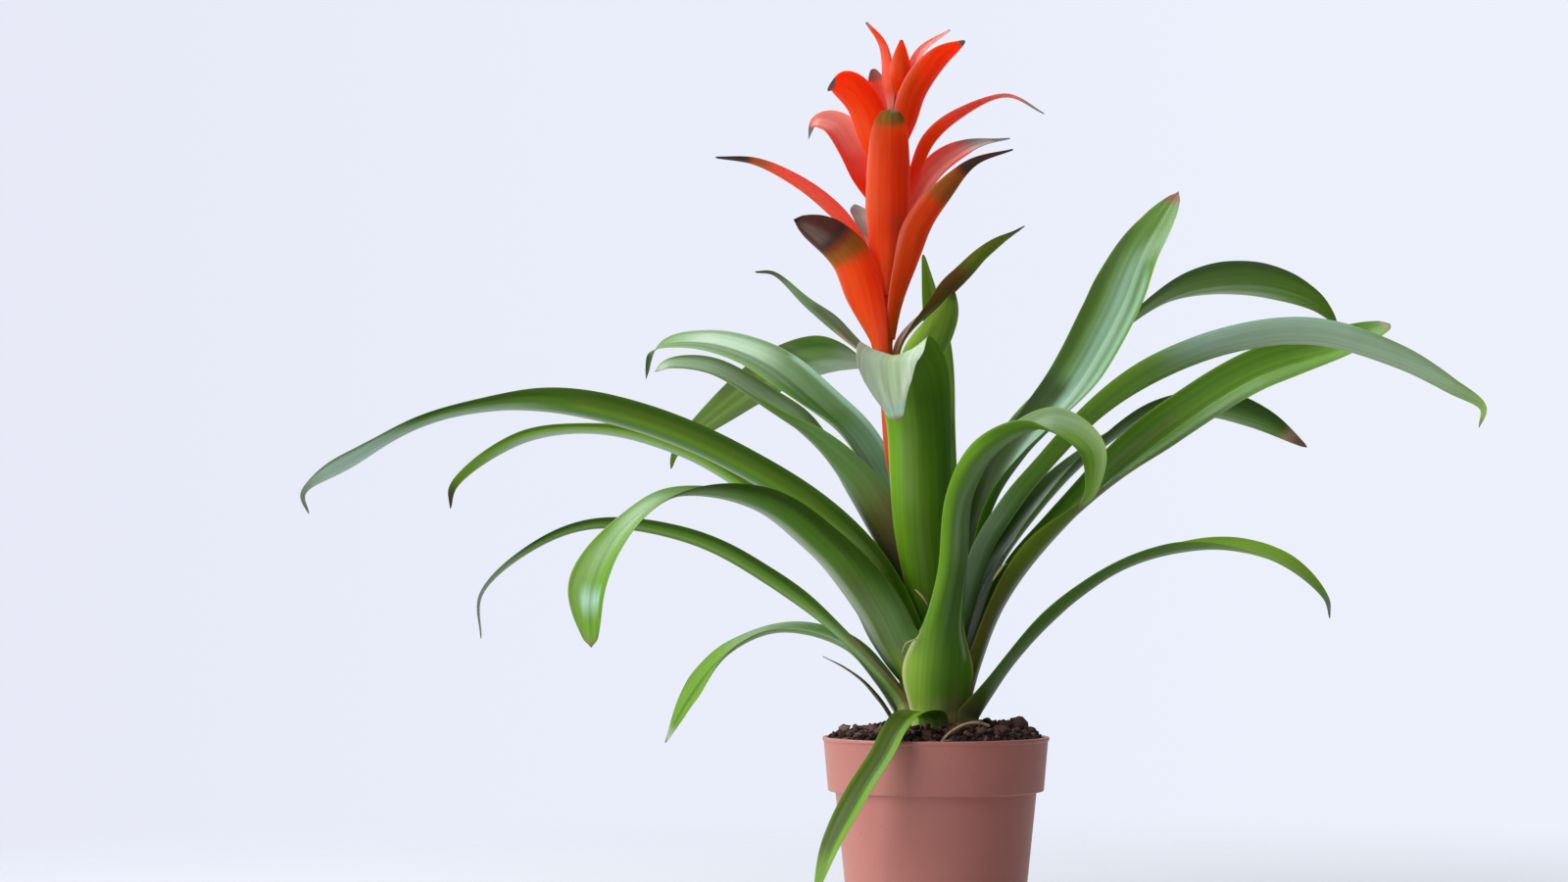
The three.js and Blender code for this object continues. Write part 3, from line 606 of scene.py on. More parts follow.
# the flower stem's middle as [x, y, height], and its radius as [height, radius]
STEM_ROUTE = [
    [0, 0, 140], [-1, 0, 165], [-6, 1, 192], [-15, 2, 225], [-22, 2, 253], [-25, 0, 285],
    [-26.5, -1, 313], [-25.5, -1.5, 345], [-24, -1.5, 385], [-21, -1, 430], [-18, -1, 466],
]
STEM_RADIUS = [[140, 4.8], [300, 4], [400, 3], [466, 1.6]]
STEM_STEPS = 220
STEM_SIDES = 28
BROWN_FROM_TO = (150, 200)
RED_FROM_TO = (215, 262)
STOCK_GREEN = np.array((0.085, 0.105, 0.028))
STEM_BROWN = np.array((0.16, 0.075, 0.03))
STEM_RED = np.array((0.72, 0.085, 0.018))
DARK_SPECK = (0.09, 0.06, 0.03, 1)
# darkest and lightest shade that fibres, fine threads and clouds multiply the colour by
STREAK_SHADES = ((0.84, 0.86, 0.86, 1), (1.13, 1.12, 1.1, 1))
THREAD_SHADES = ((0.95, 0.95, 0.94, 1), (1.04, 1.04, 1.03, 1))
CLOUD_SHADES = ((0.86, 0.9, 0.9, 1), (1.12, 1.08, 1.05, 1))
# red minus green of the point colour where light starts to pass under the surface, and where it does fully
GLOW_SPAN = (0.3, 0.85)


def value_at(amount, place):
    """A plain number everywhere, or a [place, value] list read straight between its points."""
    if isinstance(amount, (int, float)):
        return np.full(np.shape(place), float(amount))
    places, values = np.array(amount, float).T
    return np.interp(place, places, values)


def smooth(x, start, end):
    """0 before start, 1 after end and between them u^2 (3 - 2 u), which is S-shaped."""
    u = np.clip((x - start) / (end - start), 0, 1)
    return u * u * (3 - 2 * u)


def smooth_line(points, share):
    """Places and unit directions at shares of the length along a centripetal Catmull-Rom curve.

    Each span is a cubic; its end slopes come from knots spaced by the square root of the distance
    between points, and the first and last points are mirrored outwards. The length comes third."""
    p = np.array(points, float)
    p = np.vstack([2 * p[0] - p[1], p, 2 * p[-1] - p[-2]])
    gap = np.linalg.norm(np.diff(p, axis=0), axis=1, keepdims=True) ** 0.5
    before, here, after = gap[:-2], gap[1:-1], gap[2:]
    a, b, c, d = p[:-3], p[1:-2], p[2:-1], p[3:]
    start = ((b - a) / before - (c - a) / (before + here) + (c - b) / here) * here
    end = ((c - b) / here - (d - b) / (here + after) + (d - c) / after) * here
    u = np.linspace(0, 1, 48, endpoint=False)[:, None, None]
    curve = b + start * u + (3 * (c - b) - 2 * start - end) * u ** 2 + (2 * (b - c) + start + end) * u ** 3
    curve = np.vstack([curve.transpose(1, 0, 2).reshape(-1, 3), p[-2]])
    length = np.append(0, np.cumsum(np.linalg.norm(np.diff(curve, axis=0), axis=1)))
    even = length[-1] * share
    slope = np.gradient(curve, length, axis=0)
    place = np.stack([np.interp(even, length, curve[:, k]) for k in range(3)], -1)
    along = np.stack([np.interp(even, length, slope[:, k]) for k in range(3)], -1)
    return place, along / np.linalg.norm(along, axis=1, keepdims=True), length[-1]


def stem_tint(z):
    """Green-brown at the stock, brown where the leaves clasp it and orange-red from the first bracts up."""
    brown = smooth(z, *BROWN_FROM_TO)[:, None]
    red = smooth(z, *RED_FROM_TO)[:, None]
    base = STOCK_GREEN * (1 - brown) + STEM_BROWN * brown
    return base * (1 - red) + STEM_RED * red


def round_stalk(centres, radii, sides):
    """Level rings round a line of centres: point = (x + r cos a, y + r sin a, z), with a blade place.

    A point at both ends closes it."""
    turn = np.linspace(0, 2 * np.pi, sides, endpoint=False)
    radii = np.concatenate([[0], radii, [0]])[:, None]
    centres = np.vstack([centres[:1], centres, centres[-1:]])
    x = centres[:, 0:1] + radii * np.cos(turn)
    y = centres[:, 1:2] + radii * np.sin(turn)
    z = centres[:, 2:3] + 0 * turn
    along = np.linspace(0, 1, len(centres))[:, None] + 0 * turn
    blade = np.stack([np.sin(turn) + 0 * along, along, 0 * along], -1).reshape(-1, 3)
    return np.stack([x, y, z], -1).reshape(-1, 3), ring_faces(len(centres), sides), blade


def fibre_group():
    """Node group: fine lines that run along a blade, from its own blade attribute (across, along, side)."""
    tree, given, out = new_group("fibres", {"Lines": 20.0, "Length": 2.0, "Seed": 0.0}, ["Streak", "Thread"])
    blade = add_node(tree, "Attribute", attribute_name="blade").outputs["Vector"]
    parts = add_node(tree, "SeparateXYZ", {"Vector": blade}).outputs
    across = worked_out(tree, "MULTIPLY", parts["X"], given["Lines"])
    along = worked_out(tree, "MULTIPLY", parts["Y"], given["Length"])
    place = add_node(tree, "CombineXYZ", {"X": across, "Y": along, "Z": given["Seed"]}).outputs[0]
    coarse = add_node(tree, "TexNoise", {"Vector": place, "Scale": 0.35, "Detail": 2.0, "Roughness": 0.5})
    fine = add_node(tree, "TexNoise", {"Vector": place, "Scale": 1.6, "Detail": 2.0, "Roughness": 0.6})
    set_inputs(tree, out, {
        "Streak": mapped(tree, coarse.outputs["Fac"], 0.3, 0.7),
        "Thread": mapped(tree, fine.outputs["Fac"], 0.3, 0.7),
    })
    return tree


def plant_material(name, lines, seed, roughness, bump, glow=0.0, glow_colour=(1, 0.2, 0.1)):
    """Living skin: the point colour with darker and lighter fibres, soft clouds and a leathery gloss.

    Where the point colour is red, light passes a little way under the surface."""
    tree, shader, material = new_material(name)
    thread_values = {"Lines": lines, "Length": 1.6, "Seed": seed}
    threads = add_node(tree, "Group", thread_values, node_tree=fibres).outputs
    scales = {"Spot Scale": 700, "Spot Share": 0.71, "Cloud Scale": 38}
    marks = add_node(tree, "Group", scales, node_tree=speckle).outputs
    tint = add_node(tree, "Attribute", attribute_name="tint").outputs["Color"]
    colour = tint
    for mask, shades in (
        (threads["Streak"], STREAK_SHADES), (threads["Thread"], THREAD_SHADES), (marks["Cloud"], CLOUD_SHADES)
    ):
        colour = blend_colour(tree, 1.0, colour, blend_colour(tree, mask, *shades), "MULTIPLY")
    flecks = worked_out(tree, "MULTIPLY", marks["Spots"], 0.15)
    relief = add_node(tree, "Bump", {"Height": threads["Streak"], "Strength": bump, "Distance": 0.00004})
    parts = add_node(tree, "SeparateColor", {"Color": tint}).outputs
    redness = worked_out(tree, "SUBTRACT", parts["Red"], parts["Green"])
    set_inputs(tree, shader, {
        "Base Color": blend_colour(tree, flecks, colour, DARK_SPECK),
        "Roughness": mapped(tree, marks["Cloud"], 0.3, 0.7, roughness - 0.05, roughness + 0.07),
        "Normal": relief.outputs["Normal"],
        "Specular IOR Level": 0.3,
        "Subsurface Weight": mapped(tree, redness, *GLOW_SPAN, 0.0, glow),
        "Subsurface Radius": glow_colour,
        "Subsurface Scale": 0.005,
    })
    return material


fibres = fibre_group()
stem_line = smooth_line(STEM_ROUTE, np.linspace(0, 1, STEM_STEPS + 1))[0]
stem_radius = value_at(STEM_RADIUS, stem_line[:, 2])
stem_points, stem_faces, stem_blade = round_stalk(stem_line, stem_radius, STEM_SIDES)
stock_z = np.concatenate([
    np.linspace(STOCK_SHOULDER - STOCK_DEPTH, STOCK_SHOULDER, 8),
    np.linspace(STOCK_TAPER_START, STOCK_TOP, 20),
])
stock_radius = np.interp(
    stock_z, [STOCK_SHOULDER, STOCK_TAPER_END, STOCK_TOP], [STOCK_RADIUS, STOCK_TOP_RADIUS, 3]
)
stock_line = np.stack([0 * stock_z, 0 * stock_z, stock_z], -1)
stock_points, stock_faces, stock_blade = round_stalk(stock_line, stock_radius, STOCK_SIDES)
stalk_points, stalk_faces, stalk_tint = joined([
    (stock_points, stock_faces, stem_tint(stock_points[:, 2])),
    (stem_points, stem_faces, stem_tint(stem_points[:, 2])),
])
stalk_skin = plant_material(
    "stalk_skin", lines=14, seed=3, roughness=0.4, bump=0.3, glow=0.1, glow_colour=(1.0, 0.4, 0.1)
)
stalk_fields = {"tint": stalk_tint, "blade": np.vstack([stock_blade, stem_blade])}
add_piece("flower_stem", stalk_points, stalk_faces, stalk_skin, ["stem"], stalk_fields)


# Leaves: strap blades of one leathery piece each, a clasping sheath at the foot and a channelled blade that
# arches over to a drawn-out tip. They grow in a spiral from the stock, the outermost lowest.
LEAF_THICKNESS = 0.8
LEAF_CLEARANCE = LEAF_THICKNESS / 2 + 0.35
LEAF_STEPS = 170
LEAF_HALF_RING = 30
LEAF_EASE = 4
FIRST_FOOT_REACH = 24
FIRST_FOOT_HEIGHT = 114
FOOT_INWARD = 0.86
FOOT_RISE = 1.9
FOOT_STEPS = 6
FOOT_BOTTOM = 108
FOOT_LEAN = 0.15
DEEPEST_FOOT = 30
CLASP = 2.6
SHEATH_START = 0.1
SHEATH_END = 0.4
SHEATH_FLARE = 30
FLARE_END = 0.3
TIGHTEST_CURL = 2.8
TIP_WIDTH = 1.6
TIP_ROUNDING = 0.012
TIP_POWER = 1.6
TIP_THINNING = 0.6
THIN_FROM = 0.75
KEEL_DROP = 0.6
WIDEST_BLADE = 40
MIDRIB_DEPTH = 0.35
MIDRIB_WIDTH = 0.09
PLEAT_DEPTH = 0.1
PLEAT_WIDTHS = (6, 22)
# pleats as (waves across, strength, slant along the blade)
PLEATS = [(11, 1, 1.5), (17, 0.7, -2), (23, 0.4, 0)]
# heading and foot are the directions of the blade and of its foot, in degrees;
# route points are [distance from the axis, height, sideways shift] from foot to tip;
# sheath is the width at the foot and blade the width further out, or widths all along as a list of
# [fraction of the length, value]; cup is the hollow's radius and roll its turn, as a number or such a list;
# taper is where the tip starts, blunt the power of its curve and tip the width that it ends in;
# foot_rank moves a foot up or down the stock, and stem_foot puts it on the flower stem at that height
LEAVES = [
    dict(name="leaf_01_over_rim", heading=-120, foot=-95, sheath=16, blade=15.5, cup=14, taper=0.55,
         blunt=2.4,
         route=[[25, 119, 11], [34, 122, 11], [50, 121, 10], [62, 114, 9], [74, 102, 8], [89, 83, 2],
                [102, 56, -7], [109, 32, -12]]),
    dict(name="leaf_02_dry", heading=168, cup=10, taper=0.9,
         blade=[[0, 11], [0.3, 9.5], [0.5, 7], [0.7, 4], [1, 1.6]],
         route=[[29, 125], [38, 136], [49, 144], [61, 150]]),
    dict(name="leaf_03_low_right", heading=-12, cup=13, taper=0.97,
         blade=[[0, 42], [0.12, 32], [0.3, 25], [0.45, 22], [0.62, 24], [0.72, 22], [0.8, 17], [0.9, 10.5],
                [0.96, 5], [1, 2]],
         route=[[26, 124], [43, 149], [73, 182.5], [108, 203], [148, 210], [184, 201], [205, 181.5],
                [207, 171]],
         roll=[[0.2, 0], [0.6, 0], [0.85, 30]]),
    dict(name="leaf_04_low_back_left", heading=152, cup=18, taper=0.97,
         blade=[[0, 28], [0.3, 26], [0.55, 20], [0.7, 19], [0.82, 17], [0.9, 11], [0.96, 5], [1, 1.6]],
         route=[[31, 134], [49, 153], [71, 163], [98, 164], [128, 151], [149, 128], [165, 101]],
         roll=[[0.2, 0], [0.5, -12], [0.62, -25], [0.8, -62], [1, -70]]),
    dict(name="leaf_05_low_back", heading=92, sheath=30, blade=30, cup=20, taper=0.4,
         route=[[26, 134], [52, 165], [90, 190], [135, 196], [178, 182], [206, 152]]),
    dict(name="leaf_06_low_left", heading=-176, sheath=30, blade=24, cup=11, taper=0.3,
         route=[[24, 131], [49, 159], [87, 191.3], [129, 213], [180, 220], [213, 208], [240, 183],
                [240, 160]],
         roll=[[0.2, 0], [0.4, 15], [1, 20]]),
    dict(name="leaf_07_front_right", heading=-60, foot=-88, foot_rank=3.8, cup=10, taper=0.62,
         blade=[[0, 30], [0.05, 44], [0.12, 43], [0.155, 29], [0.19, 23], [0.24, 20.5], [0.45, 21],
                [0.6, 30]],
         route=[[23, 139, -12], [26, 163, -11], [31, 195, -8], [40, 235, -9], [61, 262, -4], [88, 273, 10],
                [110, 258, 24], [110, 237, 24], [105, 227, 20]],
         roll=[[0.4, 0], [0.6, 20], [1, 30]]),
    dict(name="leaf_08_right", heading=2, sheath=42, blade=33, taper=0.9, blunt=3, tip=13,
         cup=[[0.2, 10], [0.7, 26]],
         route=[[24, 148], [36, 179], [55, 211], [87, 243], [127, 274], [171, 301], [216, 316], [243, 327]],
         roll=[[0.3, 0], [0.55, 45], [0.8, 45], [1, 20]]),
    dict(name="leaf_09_behind_left", heading=160, cup=10, taper=0.97,
         blade=[[0, 30], [0.1, 30], [0.4, 22], [0.6, 19], [0.72, 12], [0.8, 13], [0.88, 10], [0.96, 6],
                [1, 2]],
         route=[[22, 148], [36, 174], [58, 199], [97, 234], [142, 260], [190, 272.5], [240, 268.5],
                [281, 242.5], [283, 230]],
         roll=[[0.2, 0], [0.4, 20], [1, 30]]),
    dict(name="leaf_10_behind_right", heading=35, sheath=24, blade=29, taper=0.72,
         cup=[[0.2, 10], [0.6, 18]],
         route=[[18, 150], [30, 182, 1], [48, 209, 1], [72, 236], [100, 258], [143, 281], [192, 288],
                [231, 281], [267, 266]],
         roll=[[0.3, 0], [0.6, -25], [1, -40]]),
    dict(name="leaf_11_front_left", heading=-152, taper=0.985,
         blade=[[0, 50], [0.06, 56], [0.12, 56], [0.2, 53], [0.3, 42], [0.45, 35], [0.58, 30], [0.66, 22],
                [0.72, 18], [0.78, 20], [0.82, 24], [0.87, 29], [0.9, 28.5], [0.94, 22], [0.97, 15],
                [1, 6]],
         cup=[[0.5, 14], [0.75, 26]],
         route=[[24, 145, -4], [33, 158, -4], [43, 174, -1], [67, 207], [106, 233], [155, 235.5],
                [184.5, 216.5], [202, 189], [201, 157]],
         roll=[[0.15, 0], [0.4, 10], [0.6, 0], [0.8, -20], [1, -20]]),
    dict(name="leaf_12_back", heading=94, sheath=22, blade=30, cup=20, taper=0.4,
         route=[[16.5, 155], [22, 178], [33, 206], [64, 246], [110, 272], [160, 266], [198, 236]]),
    dict(name="leaf_13_long_left", heading=177, cup=13, taper=0.985,
         blade=[[0, 39], [0.12, 39], [0.25, 34], [0.5, 34], [0.58, 32.5], [0.64, 27], [0.695, 18],
                [0.745, 12.5], [0.8, 10.5], [0.85, 10], [0.88, 12], [0.91, 13.5], [0.935, 10.5],
                [0.96, 4.5], [1, 1.4]],
         route=[[15, 158], [27, 190], [49, 215], [107, 255], [160, 277], [205, 285.6], [246, 282.6],
                [276, 274.6], [307, 258], [338, 237], [335, 226]],
         roll=[[0.1, 0], [0.3, 25], [0.7, 25], [1, 45]]),
    dict(name="leaf_14_long_right", heading=-14, sheath=37, blade=30, taper=0.68, blunt=2.4,
         cup=[[0.2, 11], [0.6, 18]],
         route=[[16, 160], [22.5, 185], [30, 208], [38.5, 224], [50.5, 243], [80, 275], [115, 299],
                [159, 315], [201, 318], [243, 305], [270, 290], [286, 279], [284, 269]],
         roll=[[0.2, 0], [0.3, 10], [0.5, -20], [1, -35]]),
    dict(name="leaf_15_left", heading=175, foot=158, taper=0.985,
         blade=[[0, 28], [0.1, 36], [0.2, 41], [0.3, 39], [0.55, 35], [0.7, 30], [0.8, 24], [0.9, 19],
                [0.95, 14], [0.98, 9], [1, 3]],
         cup=[[0.2, 14], [0.35, 18], [0.6, 15]],
         route=[[13, 180, -3], [21, 203, -2], [38, 237, 1], [61, 267, 3], [90, 287.5], [119, 304],
                [142, 306], [150, 302]],
         roll=[[0.1, 0], [0.25, 40], [0.45, 35], [0.65, -15], [1, -35]]),
    dict(name="leaf_16_back_right", heading=46, taper=0.985,
         blade=[[0, 24], [0.2, 24], [0.42, 20], [0.55, 20], [0.65, 28], [0.72, 31], [0.8, 28.5],
                [0.88, 21.5], [0.94, 13], [0.98, 6], [1, 2]],
         cup=[[0.2, 12], [0.6, 20]],
         route=[[17, 185, 4], [25, 205, 6], [36, 225, 6], [48, 245, 5], [67, 271], [90, 292], [144, 325],
                [208, 356], [281, 365], [341, 356], [364, 344]],
         roll=[[0.3, 0], [0.5, -35], [1, -50]]),
    dict(name="leaf_17_front", heading=-92, foot=-98, taper=0.99,
         blade=[[0, 23], [0.1, 23], [0.25, 36], [0.4, 44], [0.72, 44], [0.8, 39], [0.86, 32], [0.9, 26],
                [0.95, 15], [1, 6]],
         cup=[[0.6, 22], [0.8, 40]],
         route=[[13, 187, -4], [15, 217, -7], [17, 248, -8], [20, 275, -9], [27, 299, -13], [37, 311, -21],
                [46, 306, -25], [51, 292, -24], [53, 273, -20]]),
    dict(name="leaf_18_upper_left", heading=130, taper=0.985,
         blade=[[0, 18], [0.1, 18], [0.4, 31], [0.6, 28], [0.7, 25], [0.8, 22], [0.9, 18], [0.95, 14],
                [0.98, 9], [1, 4]],
         cup=[[0.25, 14], [0.6, 20]],
         route=[[10, 180], [18, 199], [32, 228], [62, 268], [96, 289.5], [147, 315.5], [204, 327.5],
                [243, 323.5], [250, 307]],
         roll=[[0.4, 0], [0.6, -30], [1, -35]]),
    dict(name="leaf_19_upright_right", heading=16, taper=0.985,
         blade=[[0, 18], [0.1, 18], [0.25, 29], [0.45, 37], [0.6, 39], [0.7, 42], [0.78, 42], [0.84, 35],
                [0.9, 29], [0.955, 19], [0.985, 9], [1, 3]],
         cup=[[0.25, 10], [0.6, 32]],
         route=[[11, 175], [16, 195], [22, 211], [32, 240], [45, 260], [60, 277], [80, 300], [100, 334],
                [115, 366], [127, 384], [139, 401]],
         roll=[[0.3, 0], [0.6, 30], [1, 30]]),
    dict(name="leaf_20_upright_back", heading=80, foot=60, stem_foot=158, sheath=9, blade=19, cup=30,
         taper=0.6,
         route=[[8, 180, -4], [13, 205, -3], [22, 240, 0], [34, 275, 3], [46, 318, 5], [55, 350, 11],
                [62, 369, 15]]),
    dict(name="leaf_21_upper_back_left", heading=121, foot=95, stem_foot=170, sheath=9, blade=30, cup=30,
         taper=0.5, blunt=2,
         route=[[8, 190, -3], [11, 215, -6], [14, 243, -7], [21, 275, -3], [52, 304, 0], [96, 315],
                [153, 311], [224, 290], [282, 265], [287, 256]],
         roll=[[0.3, 0], [0.5, 40], [1, 45]]),
]


def stem_centre(height):
    """Where the flower stem's middle is at this height, as (x, y)."""
    return [np.interp(height, stem_line[:, 2], stem_line[:, k]) for k in (0, 1)]


def route_points(centre, heading, route):
    """Points from [reach, height, shift]: x = reach cos h - shift sin h, y = reach sin h + shift cos h."""
    h = math.radians(heading)
    reach, height, shift = np.array([[*p, 0][:3] for p in route], float).T
    x = centre[0] + reach * math.cos(h) - shift * math.sin(h)
    y = centre[1] + reach * math.sin(h) + shift * math.cos(h)
    return np.stack([x, y, height], -1).tolist()


def tapered(width, shape, t):
    """Full width until the taper starts, then narrowing to the tip by a power of the place past it.

    The very end is rounded off as a quarter circle is: by sqrt(1 - u^2)."""
    taper, blunt, tip = shape["taper"], shape.get("blunt", TIP_POWER), shape.get("tip", TIP_WIDTH)
    past = np.clip((t - taper) / (1 - taper), 0, 1)
    end = np.clip((t - 1 + TIP_ROUNDING) / TIP_ROUNDING, 0, 0.98)
    return (tip + (width - tip) * (1 - past ** blunt)) * np.sqrt(1 - end ** 2)


def eased(values, reach):
    """A running mean over reach steps to each side, with the ends held."""
    padded = np.pad(values, reach, mode="edge")
    return np.convolve(padded, np.ones(2 * reach + 1) / (2 * reach + 1), mode="valid")


def closer_at_tip(steps):
    """Shares of the length from foot to tip, t = 1.5 u - 0.5 u^2: the last steps are a third of the first."""
    u = np.linspace(0, 1, steps + 1)
    return 1.5 * u - 0.5 * u ** 2


def blade_surface(t, line, along, heading, roll, width, hollow, thickness, half_ring, seed):
    """Closed thin blade along a midline, as rings of points, with their place (across, along, side).

    A section is an arc of radius hollow that opens towards inner = along x side. Place s across, from -1
    to 1, lies at angle s width / (2 hollow). The skin is half the thickness to each side of the arc and
    thins to nothing at both edges by sqrt(1 - s^6). Low pleats, a sum of sine waves across, and a groove
    exp(-(s / w)^2) along the middle are added to both faces. Past the sheath the section drops by a share
    of its own depth, so that the route runs inside its hollow. The blade attribute, which comes last, is
    the same place with the real distance across, as a share of the widest blade."""
    h = np.radians(heading)
    side = np.stack([-np.sin(h), np.cos(h), 0 * h], -1)
    side -= along * np.sum(side * along, axis=1, keepdims=True)
    side /= np.linalg.norm(side, axis=1, keepdims=True)
    turn = np.radians(roll)[:, None]
    side = side * np.cos(turn) + np.cross(along, side) * np.sin(turn)
    inner = np.cross(along, side)
    ring = np.linspace(0, 2 * np.pi, 2 * half_ring, endpoint=False)
    s = np.cos(ring)[None, :]
    face = np.sign(np.round(np.sin(ring), 9))[None, :]
    drop = hollow * (1 - np.cos(width / 2 / hollow)) * KEEL_DROP * smooth(t, SHEATH_START, SHEATH_END)
    room = smooth(width, *PLEAT_WIDTHS)[:, None]
    t, width, hollow = t[:, None], width[:, None], hollow[:, None]
    skin = face * thickness[:, None] / 2 * np.sqrt(1 - s ** 6)
    shifts = np.random.default_rng(seed).uniform(0, 2 * np.pi, 3)
    pleat = sum(
        strength * np.sin(waves * s + shift + slant * t)
        for (waves, strength, slant), shift in zip(PLEATS, shifts)
    )
    groove = MIDRIB_DEPTH * np.exp(-(s / MIDRIB_WIDTH) ** 2)
    relief = room * (PLEAT_DEPTH * pleat * (1 - s ** 2) - groove)
    angle = s * width / 2 / hollow
    reach = hollow - skin - relief
    out = reach * np.sin(angle)
    rise = hollow - reach * np.cos(angle) - drop[:, None]
    points = line[:, None] + out[..., None] * side[:, None] + rise[..., None] * inner[:, None]
    place = np.stack([s + 0 * t, t + 0 * s, face + 0 * t], -1)
    blade = np.stack([s * width / WIDEST_BLADE, t + 0 * s, face + 0 * t], -1)
    return points, place, blade.reshape(-1, 3)


def closed_shell(points):
    """Faces of a grid of rings, outward, with the first and last ring closed by zipping their two halves.

    The sign of the volume, the sum of a . (b x c) over the faces, tells a shell that is inside out."""
    rings, sides = points.shape[:2]
    faces = ring_faces(rings, sides).tolist()
    last = (rings - 1) * sides
    for j in range(sides // 2):
        quad = [j, j + 1, (sides - j - 1) % sides, (sides - j) % sides]
        corners = list(dict.fromkeys(quad))
        faces.append(corners[::-1])
        faces.append([last + k for k in corners])
    a, b, c = points.reshape(-1, 3)[np.array([face[:3] for face in faces])].transpose(1, 0, 2)
    inside_out = np.einsum("ij,ij->i", a, np.cross(b, c)).sum() < 0
    return [face[::-1] for face in faces] if inside_out else faces


def leaf_foot(leaf, rank):
    """Where a leaf grows from: the middle of what it clasps, the distance from that and the height."""
    height = leaf.get("stem_foot")
    if height:
        return stem_centre(height), float(value_at(STEM_RADIUS, height)) + LEAF_CLEARANCE, height
    rank = leaf.get("foot_rank", rank)
    return (0, 0), FIRST_FOOT_REACH - rank * FOOT_INWARD, FIRST_FOOT_HEIGHT + rank * FOOT_RISE


def leaf_surface(leaf, rank):
    """The leaf's points, places and blade attribute, worked out from its values in the list of leaves.

    A foot that is near the soil goes straight on down into it, leaning out a little."""
    heading = leaf["heading"]
    foot_heading = leaf.get("foot", heading)
    centre, reach, height = leaf_foot(leaf, rank)
    foot = route_points(centre, foot_heading, [[reach, height]])
    t = closer_at_tip(LEAF_STEPS)
    line, along, length = smooth_line(foot + route_points((0, 0), heading, leaf["route"]), t)
    depth = height - FOOT_BOTTOM
    if depth < DEEPEST_FOOT:
        f = math.radians(foot_heading)
        sunk = np.linspace(depth, 0, FOOT_STEPS, endpoint=False)
        down = [FOOT_LEAN * math.cos(f), FOOT_LEAN * math.sin(f), -1]
        t = np.concatenate([-sunk / length, t])
        line = np.vstack([line[:1] + sunk[:, None] * down, line])
        along = np.vstack([np.repeat(along[:1], FOOT_STEPS, axis=0), along])
    if isinstance(leaf["blade"], list):
        width = value_at(leaf["blade"], t)
    else:
        width = leaf["sheath"] + (leaf["blade"] - leaf["sheath"]) * smooth(t, SHEATH_START, SHEATH_END)
    radius = np.hypot(line[:, 0], line[:, 1])
    width = np.minimum(tapered(eased(width, LEAF_EASE), leaf, t), CLASP * radius)
    cup = value_at(leaf["cup"], t) + SHEATH_FLARE * (1 - smooth(t, 0, FLARE_END))
    hollow = eased(radius * cup / (radius ** 4 + cup ** 4) ** 0.25, 3)
    hollow = np.maximum(hollow, width / TIGHTEST_CURL)
    turn = foot_heading + (heading - foot_heading) * smooth(t, 0, SHEATH_END)
    roll = eased(value_at(leaf.get("roll", 0), t), LEAF_EASE)
    thickness = LEAF_THICKNESS * (1 - TIP_THINNING * smooth(t, THIN_FROM, 1))
    return blade_surface(t, line, along, turn, roll, width, hollow, thickness, LEAF_HALF_RING, rank)


def paint(code):
    """Linear colour of a six-digit screen colour."""
    screen = np.array([int(code[k:k + 2], 16) for k in (0, 2, 4)]) / 255
    return np.where(screen <= 0.04045, screen / 12.92, ((screen + 0.055) / 1.055) ** 2.4)


def band(value, start, end, soft):
    """1 between start and end, fading out over soft on both sides."""
    return smooth(value, start - soft, start + soft) * (1 - smooth(value, end - soft, end + soft))


# Screen colours by name. The ice colour is a painted highlight and pale a painted sheen, where faces catch
# the bright room; bloom is a waxy bloom with painted sheen on it; silver is the grey of dry tips and, along
# the leaves, mostly painted highlight lines and sheen; coral and blush are the bracts' own pinks, and on back
# bracts partly a painted reflection
PLANT_COLOURS = dict(
    deep="35540b", mid="56851a", fresh="74a61f", lime="93ba3c", olive="66701f", slate="466440",
    grey="73935f", bloom_and_sheen="a6c2a2", ice_highlight="abd6c6", pale="c2d8ba", silver_and_sheen="bcc8b4", straw="bdb285",
    bronze="6d5530", dusk="5a4741", dry="80593f", rust="8e3c26", soot="493936", flame="ff5208",
    ember="e83c04", coral="f26a5c", blush="f4a096", ochre="a0661a", moss="7c8c30", ash="99948f",
    cream="d8cfa0",
)


def painted(place, upper, under, marks):
    """Point colours: one for each face of the blade, then each mark laid over the last.

    A mark is (colour, amount, face, (across from, to), (along from, to), softness)."""
    s, t, face = place[..., 0], place[..., 1], place[..., 2]
    tint = np.where(face[..., None] >= 0, paint(PLANT_COLOURS[upper]), paint(PLANT_COLOURS[under]))
    for colour, amount, side, across, along, soft in marks:
        mask = amount * band(s, *across, 0.1 * soft) * band(t, *along, 0.025 * soft)
        mask = (mask * (face * side >= 0))[..., None]
        tint = tint * (1 - mask) + paint(PLANT_COLOURS[colour]) * mask
    return tint.reshape(-1, 3)


# faces of a blade, and ends that lie past it: across it runs from the right edge at -1 to the left at 1,
# seen from the foot with the upper side up, and along it from the foot at 0 to the tip at 1
UPPER = 1
UNDER = -1
BOTH = 0
RIGHT = -2
LEFT = 2
ALL = (RIGHT, LEFT)
FOOT = -1
TIP = 2
# marks that every leaf has
SHEATH_MARKS = [
    ("straw", 0.45, UNDER, ALL, (FOOT, 0.02), 1.5),
    ("olive", 0.35, UPPER, ALL, (FOOT, 0.1), 2),
]
EDGE_MARKS = [
    ("lime", 0.4, BOTH, (RIGHT, -0.95), (0.02, 0.97), 0.4),
    ("lime", 0.4, BOTH, (0.95, LEFT), (0.02, 0.97), 0.4),
]
TIP_MARKS = [("dry", 0.8, BOTH, ALL, (0.99, TIP), 0.4)]
